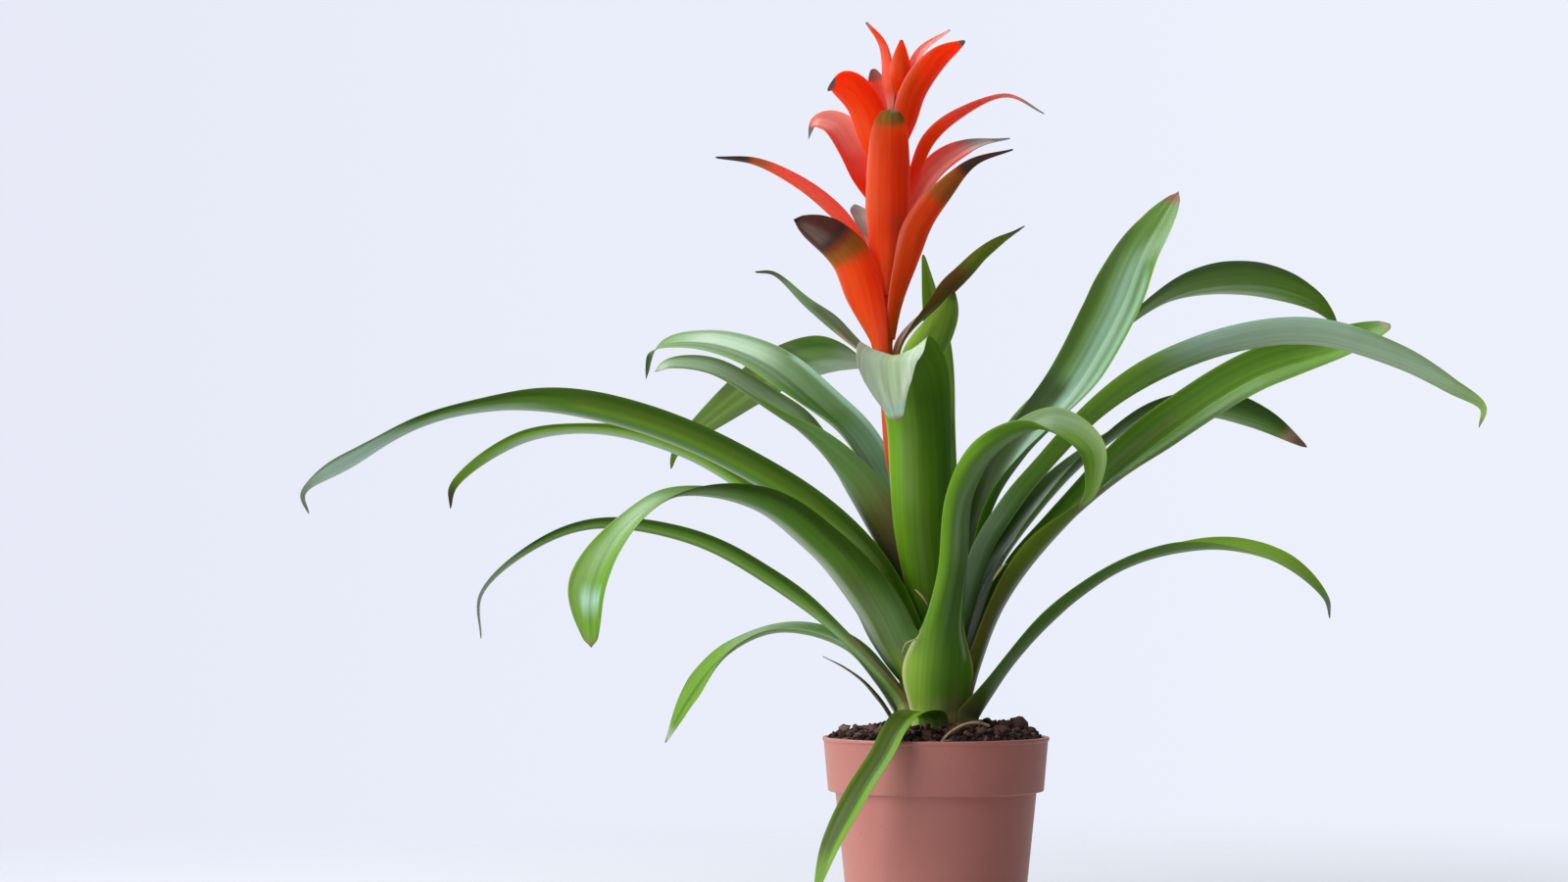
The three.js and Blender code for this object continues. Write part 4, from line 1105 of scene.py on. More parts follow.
# each leaf's upper colour, colour of the underside and own marks; a hidden leaf is plain. Marks in ice, pale,
# bloom and silver are painted sheen and highlights, as said of these colours
PLAIN_LEAF = ("mid", "mid", [])
LEAF_PAINT = dict(
    leaf_01_over_rim=("mid", "mid", [
        ("deep", 0.85, UPPER, (RIGHT, 0.25), (0.1, 0.85), 1.5),
        ("olive", 0.35, UPPER, (RIGHT, 0.1), (0.1, 0.9), 2),
        ("fresh", 0.9, UPPER, (0.4, LEFT), (0.15, 0.9), 1.2),
        ("fresh", 0.4, UPPER, (RIGHT, -0.8), (0.3, 0.8), 0.8), ("lime", 0.4, UPPER, ALL, (0.9, TIP), 4),
    ]),
    leaf_02_dry=("dry", "dusk", [
        ("straw", 0.5, BOTH, (-0.4, 0.3), (0.1, 0.5), 1), ("rust", 0.4, BOTH, ALL, (0.6, 1), 3),
    ]),
    leaf_03_low_right=("fresh", "mid", [
        ("deep", 0.35, UNDER, (RIGHT, 0.1), (FOOT, 0.6), 2),
        ("fresh", 0.5, UNDER, (0.5, LEFT), (0.1, 0.7), 1), ("lime", 0.5, BOTH, ALL, (0.72, 0.93), 4),
        ("silver_and_sheen", 0.6, BOTH, ALL, (0.955, TIP), 1), ("bronze", 0.5, UNDER, ALL, (FOOT, 0.04), 2),
    ]),
    leaf_04_low_back_left=("mid", "mid", [
        ("ice_highlight", 0.75, UPPER, (-0.3, LEFT), (0.24, 0.46), 2),
        ("deep", 0.5, UPPER, (RIGHT, -0.3), (0.1, 0.6), 1.5),
        ("fresh", 0.6, UPPER, (RIGHT, -0.05), (0.66, 0.95), 2),
        ("deep", 0.4, UPPER, (-0.05, 0.12), (0.6, 0.95), 0.7),
        ("fresh", 0.5, UPPER, (0.2, LEFT), (0.7, 0.95), 2), ("silver_and_sheen", 0.6, BOTH, ALL, (0.955, TIP), 1),
    ]),
    leaf_06_low_left=("mid", "mid", [
        ("deep", 0.75, UNDER, (0.72, LEFT), (FOOT, 0.85), 1),
        ("lime", 0.3, UNDER, (0.1, 0.55), (0.05, 0.9), 2),
        ("bloom_and_sheen", 0.5, UNDER, (RIGHT, -0.1), (0.3, 0.95), 1.5),
        ("dry", 0.8, UNDER, (0.86, LEFT), (FOOT, 0.16), 0.5), ("bloom_and_sheen", 0.7, BOTH, ALL, (0.84, TIP), 3),
        ("silver_and_sheen", 0.7, BOTH, ALL, (0.92, TIP), 1.5),
    ]),
    # The grey patch on the underside, from the middle to the left edge, lightens it where it lies in shade,
    # as painted light; the silver line is a painted highlight and the bloom on the upper face painted sheen
    leaf_07_front_right=("grey", "mid", [
        ("slate", 0.5, UNDER, (-0.3, 0.6), (0.15, 0.45), 2),
        ("fresh", 0.8, UNDER, (RIGHT, -0.6), (0.16, 0.62), 1.5),
        ("lime", 0.8, UNDER, (RIGHT, -0.3), (FOOT, 0.15), 2.5),
        ("deep", 0.35, UNDER, (0.1, 0.6), (FOOT, 0.15), 2),
        ("silver_and_sheen", 0.6, UNDER, (0.66, 0.76), (0.12, 0.5), 0.5),
        ("bronze", 0.55, UNDER, (0.2, LEFT), (FOOT, 0.03), 2),
        ("cream", 0.6, UNDER, (RIGHT, -0.88), (FOOT, 0.17), 0.6),
        ("straw", 0.6, UNDER, (0.9, LEFT), (FOOT, 0.2), 0.6),
        ("grey", 0.8, UNDER, (-0.4, LEFT), (0.34, 0.74), 2),
        ("bloom_and_sheen", 0.35, UPPER, (-0.4, 0.6), (0.66, 0.8), 2),
        ("fresh", 0.8, UPPER, (RIGHT, 0.1), (0.76, 0.99), 2),
        ("lime", 0.3, UPPER, (0.1, LEFT), (0.8, TIP), 2),
    ]),
    # The fresh patch on the upper face towards the left edge, near the foot, lightens it where it lies in
    # shade, as painted light
    leaf_08_right=("mid", "olive", [
        ("fresh", 0.55, UPPER, (-0.5, 0.25), (0.5, 1), 2),
        ("fresh", 0.5, UPPER, (0.3, LEFT), (0.15, 0.5), 2),
        ("deep", 0.5, UPPER, (RIGHT, -0.5), (0.3, 0.72), 1.2),
        ("deep", 0.35, UPPER, (0.0, 0.12), (0.4, 0.85), 0.6), ("bronze", 0.5, UNDER, ALL, (FOOT, 0.2), 3),
        ("fresh", 0.35, UNDER, ALL, (0.22, 0.42), 2), ("dry", 0.9, UPPER, (0.26, 0.31), (0.47, 0.6), 0.25),
    ]),
    leaf_09_behind_left=("mid", "fresh", [
        ("deep", 0.7, UNDER, (0.68, LEFT), (0.2, 0.9), 1), ("lime", 0.3, UNDER, (0.2, 0.5), (0.3, 0.9), 1),
        ("bloom_and_sheen", 0.8, UNDER, (RIGHT, 0.3), (0.3, 0.9), 1.5), ("fresh", 0.5, UNDER, ALL, (0.84, 0.96), 2),
        ("dusk", 0.9, BOTH, ALL, (0.965, TIP), 1),
    ]),
    leaf_10_behind_right=("deep", "mid", [
        ("deep", 0.6, UNDER, (RIGHT, -0.3), (0.4, 0.95), 1.5),
        ("fresh", 0.4, UNDER, (0.2, 0.7), (0.6, 0.95), 2), ("blush", 0.5, BOTH, ALL, (0.945, 0.975), 0.8),
        ("dry", 0.85, BOTH, ALL, (0.965, TIP), 0.6),
    ]),
    leaf_11_front_left=("mid", "mid", [
        ("fresh", 0.6, UPPER, (-0.9, 0.7), (0.74, 1), 2.5),
        ("deep", 0.8, UNDER, (0.68, LEFT), (0.12, 0.8), 1.2),
        ("dusk", 0.5, UNDER, (0.2, 0.6), (FOOT, 0.27), 2), ("grey", 0.5, UNDER, (0.3, 0.9), (FOOT, 0.2), 2),
        ("silver_and_sheen", 0.8, UNDER, (RIGHT, 0.12), (0.06, 0.6), 0.8),
        ("bloom_and_sheen", 0.6, UNDER, (RIGHT, 0.2), (0.5, 0.75), 2),
        ("dusk", 0.7, UNDER, (0.12, 0.17), (0.05, 0.35), 0.5),
        ("lime", 0.5, UNDER, (0.1, 0.5), (FOOT, 0.08), 2),
        ("bloom_and_sheen", 0.35, UPPER, (-0.6, 0.3), (0.68, 0.86), 2),
        ("ice_highlight", 0.75, UPPER, (-0.5, 0.6), (0.9, 0.935), 0.9),
        ("deep", 0.3, UPPER, (-0.1, 0.1), (0.7, 0.98), 0.8),
    ]),
    # The bloom along the lower side and the pale and ice marks at the end are painted sheen, which also
    # lightens the end where it lies in shade
    leaf_13_long_left=("mid", "mid", [
        ("deep", 0.75, UNDER, (0.66, LEFT), (0.1, 0.82), 1.2),
        ("lime", 0.5, UNDER, (0.3, 0.42), (0.12, 0.6), 1),
        ("olive", 0.4, UNDER, (0.45, 0.7), (0.1, 0.6), 1),
        ("bloom_and_sheen", 0.5, UNDER, (RIGHT, 0.05), (0.25, 0.62), 1.5),
        ("bloom_and_sheen", 0.7, UNDER, (RIGHT, 0.3), (0.64, 0.9), 2),
        ("pale", 0.95, UNDER, (RIGHT, 0.8), (0.84, 0.975), 2),
        ("ice_highlight", 0.5, UNDER, (RIGHT, 0.8), (0.84, 0.96), 2), ("silver_and_sheen", 0.7, BOTH, ALL, (0.97, TIP), 1),
    ]),
    leaf_14_long_right=("grey", "grey", [
        ("fresh", 0.85, UNDER, ALL, (0.24, 0.54), 3), ("ice_highlight", 0.75, UNDER, (RIGHT, -0.35), (0.56, 0.78), 2),
        ("bloom_and_sheen", 0.8, UNDER, (-0.9, 0.5), (0.58, 0.95), 3),
        ("fresh", 0.7, UNDER, (0.3, LEFT), (0.45, 0.97), 1),
        ("slate", 0.3, UNDER, (-0.5, 0.2), (0.1, 0.3), 2), ("lime", 0.5, UNDER, ALL, (0.93, TIP), 2),
        ("bloom_and_sheen", 0.35, UNDER, (RIGHT, -0.5), (0.1, 0.25), 1.5),
    ]),
    leaf_15_left=("grey", "mid", [
        ("grey", 0.6, UNDER, ALL, (0.36, 0.66), 2), ("bloom_and_sheen", 0.6, UNDER, (RIGHT, 0.1), (0.38, 0.64), 2),
        ("bronze", 0.7, BOTH, (-0.6, LEFT), (0.02, 0.42), 3),
        ("dusk", 0.75, BOTH, (-0.4, LEFT), (0.02, 0.33), 3),
        ("bloom_and_sheen", 0.45, UPPER, (-0.7, 0.2), (0.62, 1), 2),
        ("deep", 0.6, UPPER, (0.4, LEFT), (0.6, 0.97), 1),
        ("deep", 0.4, UPPER, (RIGHT, -0.8), (0.6, 0.97), 1),
        ("silver_and_sheen", 0.4, UNDER, (-0.62, -0.56), (0.3, 0.6), 0.5),
    ]),
    # Its fresh underside is lighter than its own green, as painted light on a face that lies in shade
    leaf_16_back_right=("mid", "fresh", [
        ("deep", 0.2, UNDER, ALL, (0.92, TIP), 3), ("grey", 0.5, UNDER, ALL, (0.45, 0.85), 2.5),
        ("bloom_and_sheen", 0.5, UNDER, (0.3, LEFT), (0.55, 0.88), 1.5),
        ("fresh", 0.6, UNDER, (-0.8, 0.6), (0.5, 0.92), 2),
        ("slate", 0.35, UNDER, (RIGHT, -0.7), (0.5, 0.9), 1),
    ]),
    # Its pale upper face, seen on the folded-over flap, is painted sheen, and the silver edges and the ice
    # near the tip are painted highlights
    leaf_17_front=("pale", "mid", [
        ("fresh", 0.75, UNDER, (RIGHT, -0.4), (FOOT, 0.78), 2),
        ("lime", 0.7, UNDER, (RIGHT, -0.86), (0.05, 0.78), 0.7),
        ("olive", 0.2, UNDER, (-0.35, 0.25), (FOOT, 0.72), 2),
        ("deep", 0.35, UNDER, (0.4, LEFT), (FOOT, 0.6), 3),
        ("fresh", 0.75, UNDER, (-0.2, LEFT), (0.68, 0.84), 2),
        ("silver_and_sheen", 0.7, UPPER, (RIGHT, -0.8), (0.76, 0.97), 0.8),
        ("silver_and_sheen", 0.7, UPPER, (0.85, LEFT), (0.8, 0.97), 0.7),
        ("ice_highlight", 0.9, BOTH, ALL, (0.965, 0.985), 0.5), ("lime", 0.25, UPPER, (-0.2, 0.5), (0.78, 0.95), 2),
    ]),
    leaf_18_upper_left=("mid", "mid", [
        ("slate", 0.6, UPPER, ALL, (0.3, 0.9), 3), ("bloom_and_sheen", 0.6, UPPER, (-0.8, 0.0), (0.66, 0.86), 2),
        ("ice_highlight", 0.5, UPPER, (RIGHT, -0.8), (0.22, 0.62), 0.7),
        ("ice_highlight", 0.3, UPPER, (-0.8, 0.3), (0.2, 0.42), 2),
        ("fresh", 0.6, UPPER, (0.6, LEFT), (0.25, 0.95), 1), ("mid", 0.6, UPPER, ALL, (0.88, 1), 2),
        ("deep", 0.4, UPPER, (-0.05, 0.08), (0.3, 0.9), 0.6),
    ]),
    # The deep marks on the left half of the upper face are painted shade, where the blade folds away from the
    # light; the ice marks are painted sheen
    leaf_19_upright_right=("mid", "mid", [
        ("ice_highlight", 0.55, UPPER, (-0.3, 0.4), (0.36, 0.86), 2.5),
        ("ice_highlight", 0.5, UPPER, (-0.8, -0.5), (0.42, 0.82), 1),
        ("mid", 0.6, UPPER, (-0.02, 0.06), (0.4, 0.9), 0.5),
        ("deep", 0.5, UPPER, (-0.42, -0.28), (0.4, 0.85), 0.7),
        ("deep", 0.5, UPPER, (0.66, LEFT), (0.5, 0.9), 1),
        ("mid", 0.7, UPPER, (0.28, 0.36), (0.55, 0.9), 0.5),
        ("deep", 1, UPPER, (0.2, LEFT), (0.15, 0.58), 1), ("deep", 0.6, UPPER, ALL, (FOOT, 0.34), 2),
        ("rust", 0.9, BOTH, ALL, (0.975, TIP), 0.5),
    ]),
    leaf_20_upright_back=("mid", "mid", [("deep", 0.5, UPPER, (-0.1, 0.1), (0.3, 0.95), 1)]),
    leaf_21_upper_back_left=("mid", "mid", [
        ("bloom_and_sheen", 0.6, UNDER, (RIGHT, -0.1), (0.36, 0.66), 2),
        ("deep", 0.7, UNDER, (0.5, LEFT), (0.36, 0.8), 1.2),
        ("lime", 0.45, UNDER, (-0.35, -0.1), (0.6, 0.96), 0.8),
        ("lime", 0.35, UNDER, (0.2, 0.35), (0.62, 0.96), 0.8), ("olive", 0.35, UNDER, ALL, (0.62, 0.98), 2),
    ]),
)
leaf_skin = plant_material("leaf_skin", lines=26, seed=0, roughness=0.36, bump=0.1)
dry_skin = plant_material(
    "dry_leaf_skin", lines=16, seed=5, roughness=0.7, bump=0.8, glow=0.05, glow_colour=(1.0, 0.6, 0.3)
)
for rank, leaf in enumerate(LEAVES):
    skin, slot = (dry_skin, "dry_leaf") if leaf["name"].endswith("dry") else (leaf_skin, "leaf_green")
    surface, place, blade = leaf_surface(leaf, rank)
    upper, under, marks = LEAF_PAINT.get(leaf["name"], PLAIN_LEAF)
    tint = painted(place, upper, under, [*SHEATH_MARKS, *EDGE_MARKS, *marks, *TIP_MARKS])
    add_piece("skin_of_" + leaf["name"], surface.reshape(-1, 3), closed_shell(surface), skin,
              [leaf["name"]], {"blade": blade, "tint": tint})


# Scraps: dry torn edges of old sheaths that are stuck between the lower leaves, and a pale splinter. Each
# is a thin spindle, thickest in the middle.
SCRAPS = [
    ("scrap_at_sheath", [(-12, -20, 186), (-9.5, -21, 184), (-7, -21, 181), (-4.5, -20, 177)], 0.7),
    ("scrap_low_sheath", [(-19, -28, 152), (-17, -31, 158), (-12, -32, 160), (-9, -31, 159)], 0.45),
    ("splinter_in_leaves", [(29, -17, 190), (31.5, -18, 194), (34, -18, 197.5), (37, -17, 200)], 0.75),
]
SCRAP_STEPS = 20
for name, corners, radius in SCRAPS:
    swell = np.sin(np.linspace(0.15, np.pi - 0.15, SCRAP_STEPS)) ** 0.7
    surface, faces = swept(smooth_path(corners, SCRAP_STEPS), radius * swell)
    tint = np.tile(paint(PLANT_COLOURS["straw"]), (len(surface), 1))
    add_piece(name, surface, faces, dry_skin, fields={"tint": tint})


# Flower head: bracts, the coloured leaves that clasp the stem one above the other and hide the small
# flowers. The lowest are green and brown, the rest orange-red, all of one leathery piece each.
BRACT_THICKNESS = 0.7
BRACT_CLEARANCE = BRACT_THICKNESS / 2 + 0.6
BRACT_STEPS = 90
BRACT_HALF_RING = 26
BRACT_EASE = 3
BRACT_THIN_FROM = 0.7
BRACT_FIRST_SEED = 50
CLASP_END = 0.5
# clasp is the width at the foot and width the widest, or widths all along; the rest is as for a leaf
BRACTS = [
    dict(name="bract_01_green_right", heading=-22, foot=283, clasp=9, width=36, cup=15, taper=0.55,
         route=[[9, 296], [20, 309], [28, 320], [34, 331], [37, 343]],
         roll=[[0.1, 0], [0.4, -20]]),
    dict(name="bract_02_green_left", heading=172, foot=291, cup=7, taper=0.97,
         width=[[0, 9], [0.25, 15], [0.45, 17], [0.6, 12], [0.75, 8], [0.9, 4], [1, 1.6]],
         route=[[9, 306], [22, 321], [43, 338], [61, 354], [71, 355]],
         roll=[[0.2, 0], [0.5, 30]]),
    dict(name="bract_03_brown_right", heading=18, foot=297, cup=9, taper=0.97,
         width=[[0, 8], [0.3, 15], [0.5, 23], [0.67, 21], [0.83, 14], [0.93, 5], [1, 1.4]],
         route=[[9, 317], [28, 340], [42, 353], [56, 366], [79, 381]],
         roll=[[0.2, 0], [0.5, -30]]),
    dict(name="bract_04_dark_tip_left", heading=-155, foot=304, cup=13, taper=0.97,
         width=[[0, 15], [0.25, 22], [0.5, 28], [0.65, 28], [0.8, 24], [0.88, 18], [0.94, 11], [1, 2]],
         route=[[8.5, 322], [14, 343], [21, 360], [33, 371], [49, 379], [54, 380]],
         roll=[[0.1, 0], [0.4, 45]]),
    dict(name="bract_05_back", heading=80, foot=311, clasp=6, width=20, cup=12, taper=0.5,
         route=[[8, 335], [16, 360], [26, 385]]),
    dict(name="bract_06_front_right", heading=-25, foot=318, cup=10, taper=0.97,
         width=[[0, 13], [0.25, 18], [0.45, 21.5], [0.6, 17], [0.67, 13.5], [0.75, 9], [0.85, 5],
                [0.95, 2.4], [1, 1]],
         route=[[8, 335], [12, 354], [19, 377], [33, 395], [50, 410], [73, 416]],
         roll=[[0.1, 0], [0.4, -35]]),
    dict(name="bract_07_long_left", heading=-173, foot=327, clasp=6, width=15, cup=7, taper=0.4,
         route=[[6, 348], [16, 373], [33, 391], [50, 403], [70, 412], [91, 414]],
         roll=[[0.2, 0], [0.5, 30]]),
    dict(name="bract_08_grey_tip", heading=112, foot=334, clasp=5, width=14, cup=9, taper=0.86,
         route=[[7, 350], [15, 366], [28, 382], [42, 394]]),
    dict(name="bract_09_front", heading=-88, foot=341, cup=13, taper=0.99, tip=6,
         width=[[0, 8], [0.2, 19], [0.45, 30], [0.65, 28.5], [0.8, 24.5], [0.88, 21], [0.94, 16.5],
                [0.98, 11], [1, 8]],
         route=[[6, 360], [8, 378], [13, 398], [22, 424], [30, 437]]),
    dict(name="bract_10_pink_right", heading=25, foot=352, cup=9, taper=0.97,
         width=[[0, 8], [0.3, 13], [0.5, 19], [0.62, 21], [0.72, 18], [0.83, 10], [0.92, 4], [1, 1.4]],
         route=[[8, 371], [15, 390], [29, 411], [50, 424], [74, 429]],
         roll=[[0.1, 0], [0.4, 30]]),
    dict(name="bract_11_long_right", heading=-8, foot=363, cup=6, taper=0.97,
         width=[[0, 7], [0.3, 13], [0.5, 14.5], [0.6, 12], [0.68, 8.5], [0.76, 5], [0.86, 3.6], [0.95, 2.6],
                [1, 1.2]],
         route=[[8, 385], [14, 405], [22, 424], [37, 437], [63, 447], [83, 437]],
         roll=[[0.1, 0], [0.4, -25]]),
    dict(name="bract_12_pink_left", heading=158, foot=372, cup=13, taper=0.97,
         width=[[0, 9], [0.3, 21], [0.5, 26], [0.7, 26], [0.83, 21], [0.9, 15], [0.95, 9], [1, 1.6]],
         route=[[5, 382], [10, 395], [20, 419], [31, 434], [42, 436], [46, 427]],
         roll=[[0.1, 0], [0.4, -35]]),
    dict(name="bract_13_upper_back", heading=85, foot=388, clasp=5, width=13, cup=10, taper=0.5,
         route=[[7, 404], [14, 425], [20, 445]]),
    dict(name="bract_14_upper_left", heading=-145, foot=390, clasp=9, width=22, cup=12, taper=0.74,
         blunt=2.4, tip=4,
         route=[[5, 413], [10, 425], [19, 443.5], [33, 452.5], [41, 449]],
         roll=[[0.1, 0], [0.4, 40]]),
    dict(name="bract_15_upper_right", heading=-15, foot=401, clasp=7, width=22, cup=10, taper=0.6,
         blunt=2.2,
         route=[[6, 423], [13, 450], [26, 467], [40, 476]],
         roll=[[0.1, 0], [0.4, -35]]),
    dict(name="bract_16_small_pink", heading=160, foot=411, clasp=6, width=15, cup=8, taper=0.78, tip=3,
         route=[[6, 440], [11, 463]],
         roll=[[0.1, 0], [0.4, -40]]),
    dict(name="bract_17_top_back", heading=55, foot=420, clasp=5, width=14, cup=8, taper=0.5,
         route=[[6, 440], [10, 464]]),
    dict(name="bract_18_top_left", heading=-168, foot=429, clasp=6, width=12, cup=6, taper=0.35, blunt=1.3,
         route=[[4, 450], [7, 475], [16, 487]],
         roll=[[0.1, 0], [0.4, 30]]),
    dict(name="bract_19_top_right", heading=8, foot=437, clasp=5, width=10, cup=6, taper=0.4, blunt=1.3,
         route=[[6, 453], [13, 472], [29, 484]],
         roll=[[0.1, 0], [0.4, 35]]),
    dict(name="bract_20_top_front", heading=-75, foot=445, clasp=4, width=15, cup=7, taper=0.45, blunt=1.3,
         route=[[5, 458], [7, 477]]),
]


def bract_surface(bract, rank):
    """The bract's points, places and blade attribute: it clasps the stem at its foot and opens above it."""
    heading, foot = bract["heading"], bract["foot"]
    foot_radius = float(value_at(STEM_RADIUS, foot)) + BRACT_CLEARANCE
    points = route_points(stem_centre(foot), heading, [[foot_radius, foot], *bract["route"]])
    t = closer_at_tip(BRACT_STEPS)
    line, along = smooth_line(points, t)[:2]
    if isinstance(bract["width"], list):
        width = eased(value_at(bract["width"], t), BRACT_EASE)
    else:
        width = bract["clasp"] + (bract["width"] - bract["clasp"]) * smooth(t, 0, CLASP_END)
    width = tapered(width, bract, t)
    hollow = foot_radius + (bract["cup"] - foot_radius) * smooth(t, 0, FLARE_END)
    hollow = np.maximum(hollow, width / TIGHTEST_CURL)
    roll = eased(value_at(bract.get("roll", 0), t), BRACT_EASE)
    thickness = BRACT_THICKNESS * (1 - TIP_THINNING * smooth(t, BRACT_THIN_FROM, 1))
    turn = np.full(len(t), float(heading))
    seed = BRACT_FIRST_SEED + rank
    return blade_surface(t, line, along, turn, roll, width, hollow, thickness, BRACT_HALF_RING, seed)


BRACT_EDGE_MARKS = [
    ("coral", 0.55, BOTH, (RIGHT, -0.88), (0.08, 0.9), 0.6),
    ("coral", 0.55, BOTH, (0.88, LEFT), (0.08, 0.9), 0.6),
]
BRACT_TIP_MARKS = [("soot", 0.8, BOTH, ALL, (0.975, TIP), 0.6)]
# each bract's upper colour, colour of the underside and own marks; a hidden bract is plain
PLAIN_BRACT = ("flame", "flame", [])
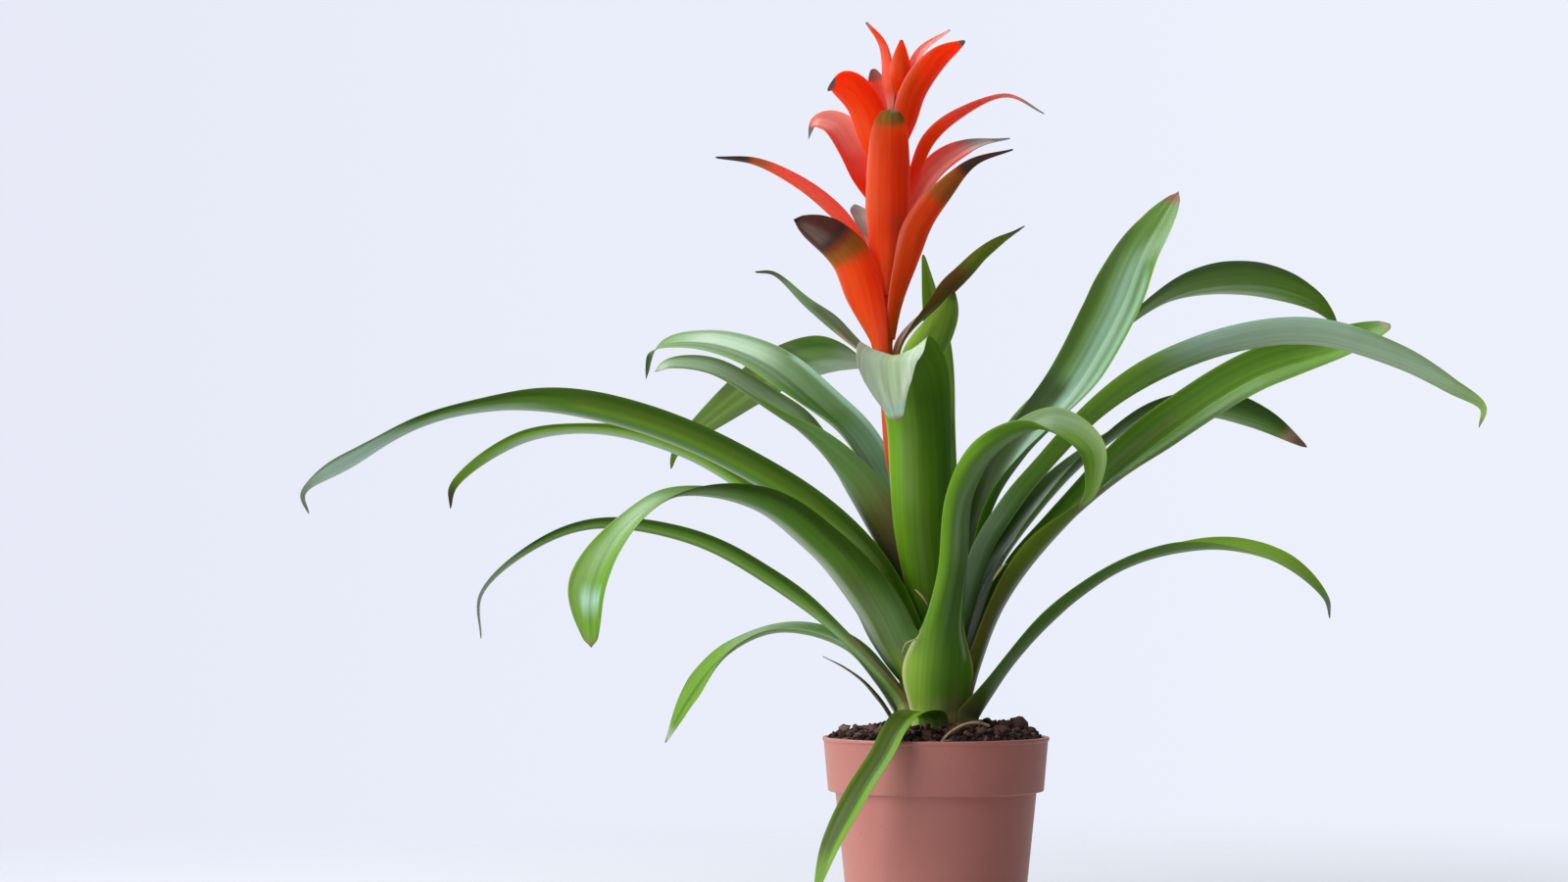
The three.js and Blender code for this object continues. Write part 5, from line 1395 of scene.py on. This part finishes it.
# On the upper faces of bract_08, bract_10 and bract_12 the coral and blush are partly the bracts' own pink
# and partly a painted reflection of the bright room
BRACT_PAINT = dict(
    bract_01_green_right=("lime", "lime", [
        ("lime", 0.6, UNDER, (RIGHT, 0.1), (0.2, 0.92), 2),
        ("lime", 0.8, UNDER, (0.25, LEFT), (0.2, 0.9), 1.5),
        ("bronze", 0.5, UNDER, (0, 0.15), (0.1, 0.8), 1),
        ("bronze", 0.4, UNDER, (-0.6, -0.5), (0.1, 0.7), 1),
        ("rust", 0.5, UNDER, (0.6, LEFT), (FOOT, 0.2), 1.5), ("bronze", 0.6, BOTH, ALL, (0.93, TIP), 1),
    ]),
    bract_02_green_left=("moss", "grey", [
        ("blush", 0.6, UNDER, (RIGHT, 0.3), (FOOT, 0.42), 2),
        ("dusk", 0.55, UNDER, (0.3, LEFT), (FOOT, 0.6), 1.5),
        ("ash", 0.4, UNDER, (RIGHT, 0), (0.4, 0.8), 2), ("dusk", 0.7, BOTH, ALL, (0.82, TIP), 2),
    ]),
    # Its ochre and lime are its own olive-brown made lighter, as painted light where it lies in shade; the
    # coral streak and dark tip are its own
    bract_03_brown_right=("ochre", "ochre", [
        ("bronze", 0.6, BOTH, (RIGHT, 0.1), (0.2, 0.66), 2),
        ("coral", 0.7, BOTH, (0.1, LEFT), (0.36, 0.6), 2.5), ("lime", 0.6, BOTH, ALL, (0.62, 0.94), 3),
        ("dusk", 0.7, BOTH, ALL, (0.93, TIP), 2),
    ]),
    bract_04_dark_tip_left=("flame", "flame", [
        ("ember", 0.5, UNDER, (0.35, LEFT), (FOOT, 0.5), 2.5),
        ("coral", 0.7, UNDER, (RIGHT, -0.78), (0.1, 0.62), 1),
        ("ochre", 0.85, UNDER, ALL, (0.6, 0.74), 2.2), ("rust", 0.8, UNDER, ALL, (0.7, 0.78), 1),
        ("soot", 0.9, BOTH, ALL, (0.735, TIP), 1), ("ash", 0.35, UNDER, (-0.5, 0.2), (0.78, 0.95), 1.5),
    ]),
    bract_06_front_right=("flame", "flame", [
        ("ochre", 0.3, UNDER, (-0.2, 0.5), (FOOT, 0.3), 2.5),
        ("ember", 0.25, UNDER, (0.1, 0.8), (0.2, 0.6), 2),
        ("coral", 0.75, UNDER, (0.72, LEFT), (0.12, 0.7), 1), ("ochre", 0.8, UNDER, ALL, (0.6, 0.76), 1.5),
        ("soot", 0.95, BOTH, ALL, (0.755, TIP), 1),
    ]),
    bract_07_long_left=("flame", "flame", [
        ("coral", 0.8, UNDER, (0, LEFT), (0.2, 0.85), 1.5), ("ochre", 0.7, BOTH, ALL, (0.78, 0.88), 2),
        ("soot", 0.95, BOTH, ALL, (0.865, TIP), 1),
    ]),
    bract_08_grey_tip=("blush", "coral", [("ash", 0.95, BOTH, ALL, (0.62, TIP), 1.5)]),
    bract_09_front=("flame", "flame", [
        ("ember", 0.6, UNDER, (-0.3, 0.9), (0.3, 0.85), 3),
        ("rust", 0.4, UNDER, (0.1, 0.8), (FOOT, 0.45), 3), ("ochre", 0.95, UNDER, ALL, (0.91, TIP), 1.6),
        ("moss", 0.4, UNDER, (-0.6, 0.6), (0.95, TIP), 1.5),
        ("ash", 0.95, BOTH, (0.0, LEFT), (0.985, TIP), 0.4),
        ("coral", 0.5, UNDER, (RIGHT, -0.8), (0.1, 0.9), 0.8),
    ]),
    bract_10_pink_right=("coral", "flame", [
        ("flame", 0.7, UPPER, (RIGHT, 0.0), (0.1, 0.5), 2),
        ("blush", 0.6, UPPER, (-0.2, LEFT), (0.35, 0.78), 2), ("ash", 0.9, BOTH, ALL, (0.77, TIP), 2.5),
        ("soot", 0.7, BOTH, ALL, (0.9, TIP), 1),
    ]),
    bract_11_long_right=("flame", "flame", [
        ("coral", 0.9, BOTH, ALL, (0.58, 0.92), 3), ("ochre", 0.5, UNDER, (0.2, LEFT), (FOOT, 0.4), 2),
        ("blush", 0.7, BOTH, ALL, (0.76, 0.92), 2), ("ash", 0.95, BOTH, ALL, (0.9, TIP), 1.5),
    ]),
    bract_12_pink_left=("flame", "flame", [
        ("coral", 1, UPPER, (RIGHT, 0.6), (0.4, 0.9), 2.5),
        ("blush", 0.5, UPPER, (RIGHT, 0.3), (0.55, 0.88), 2), ("soot", 1, BOTH, ALL, (0.92, TIP), 0.8),
    ]),
    bract_14_upper_left=("flame", "flame", [
        ("ember", 0.3, UNDER, (0.4, LEFT), (0.2, 0.8), 2), ("ash", 0.9, BOTH, ALL, (0.945, TIP), 0.8),
    ]),
    bract_15_upper_right=("flame", "flame", [
        ("ember", 0.35, UNDER, (0.1, 0.85), (0.1, 0.7), 2.5), ("ash", 0.7, BOTH, ALL, (0.96, TIP), 0.7),
    ]),
    bract_16_small_pink=("coral", "coral", [
        ("blush", 0.5, BOTH, ALL, (0.4, TIP), 2), ("ash", 0.8, BOTH, ALL, (0.88, TIP), 1.5),
    ]),
    bract_18_top_left=("coral", "flame", [
        ("coral", 0.7, UNDER, (RIGHT, 0.1), (0.05, 0.8), 2), ("blush", 0.8, BOTH, ALL, (FOOT, 0.3), 3),
        ("ash", 0.6, BOTH, ALL, (0.93, TIP), 1),
    ]),
    bract_19_top_right=("coral", "coral", [
        ("ember", 0.5, BOTH, (RIGHT, 0), (FOOT, 0.5), 2), ("ash", 0.5, BOTH, ALL, (0.93, TIP), 1),
    ]),
    bract_20_top_front=("flame", "flame", [
        ("ochre", 0.35, UNDER, (-0.2, 0.4), (0.4, 0.9), 2),
        ("rust", 0.35, UNDER, (0.3, LEFT), (FOOT, 0.6), 2),
    ]),
)
bract_skin = plant_material(
    "bract_skin", lines=18, seed=9, roughness=0.44, bump=0.08, glow=0.9, glow_colour=(1, 0.14, 0.03)
)
green_bract_skin = plant_material("green_bract_skin", lines=18, seed=4, roughness=0.44, bump=0.1)
for rank, bract in enumerate(BRACTS):
    if "green" in bract["name"] or "brown" in bract["name"]:
        skin, slot, edges = green_bract_skin, "green_bract", []
    else:
        skin, slot, edges = bract_skin, "red_bract", BRACT_EDGE_MARKS
    surface, place, blade = bract_surface(bract, rank)
    upper, under, marks = BRACT_PAINT.get(bract["name"], PLAIN_BRACT)
    tint = painted(place, upper, under, [*edges, *BRACT_TIP_MARKS, *marks])
    add_piece("skin_of_" + bract["name"], surface.reshape(-1, 3), closed_shell(surface), skin,
              [bract["name"]], {"blade": blade, "tint": tint})
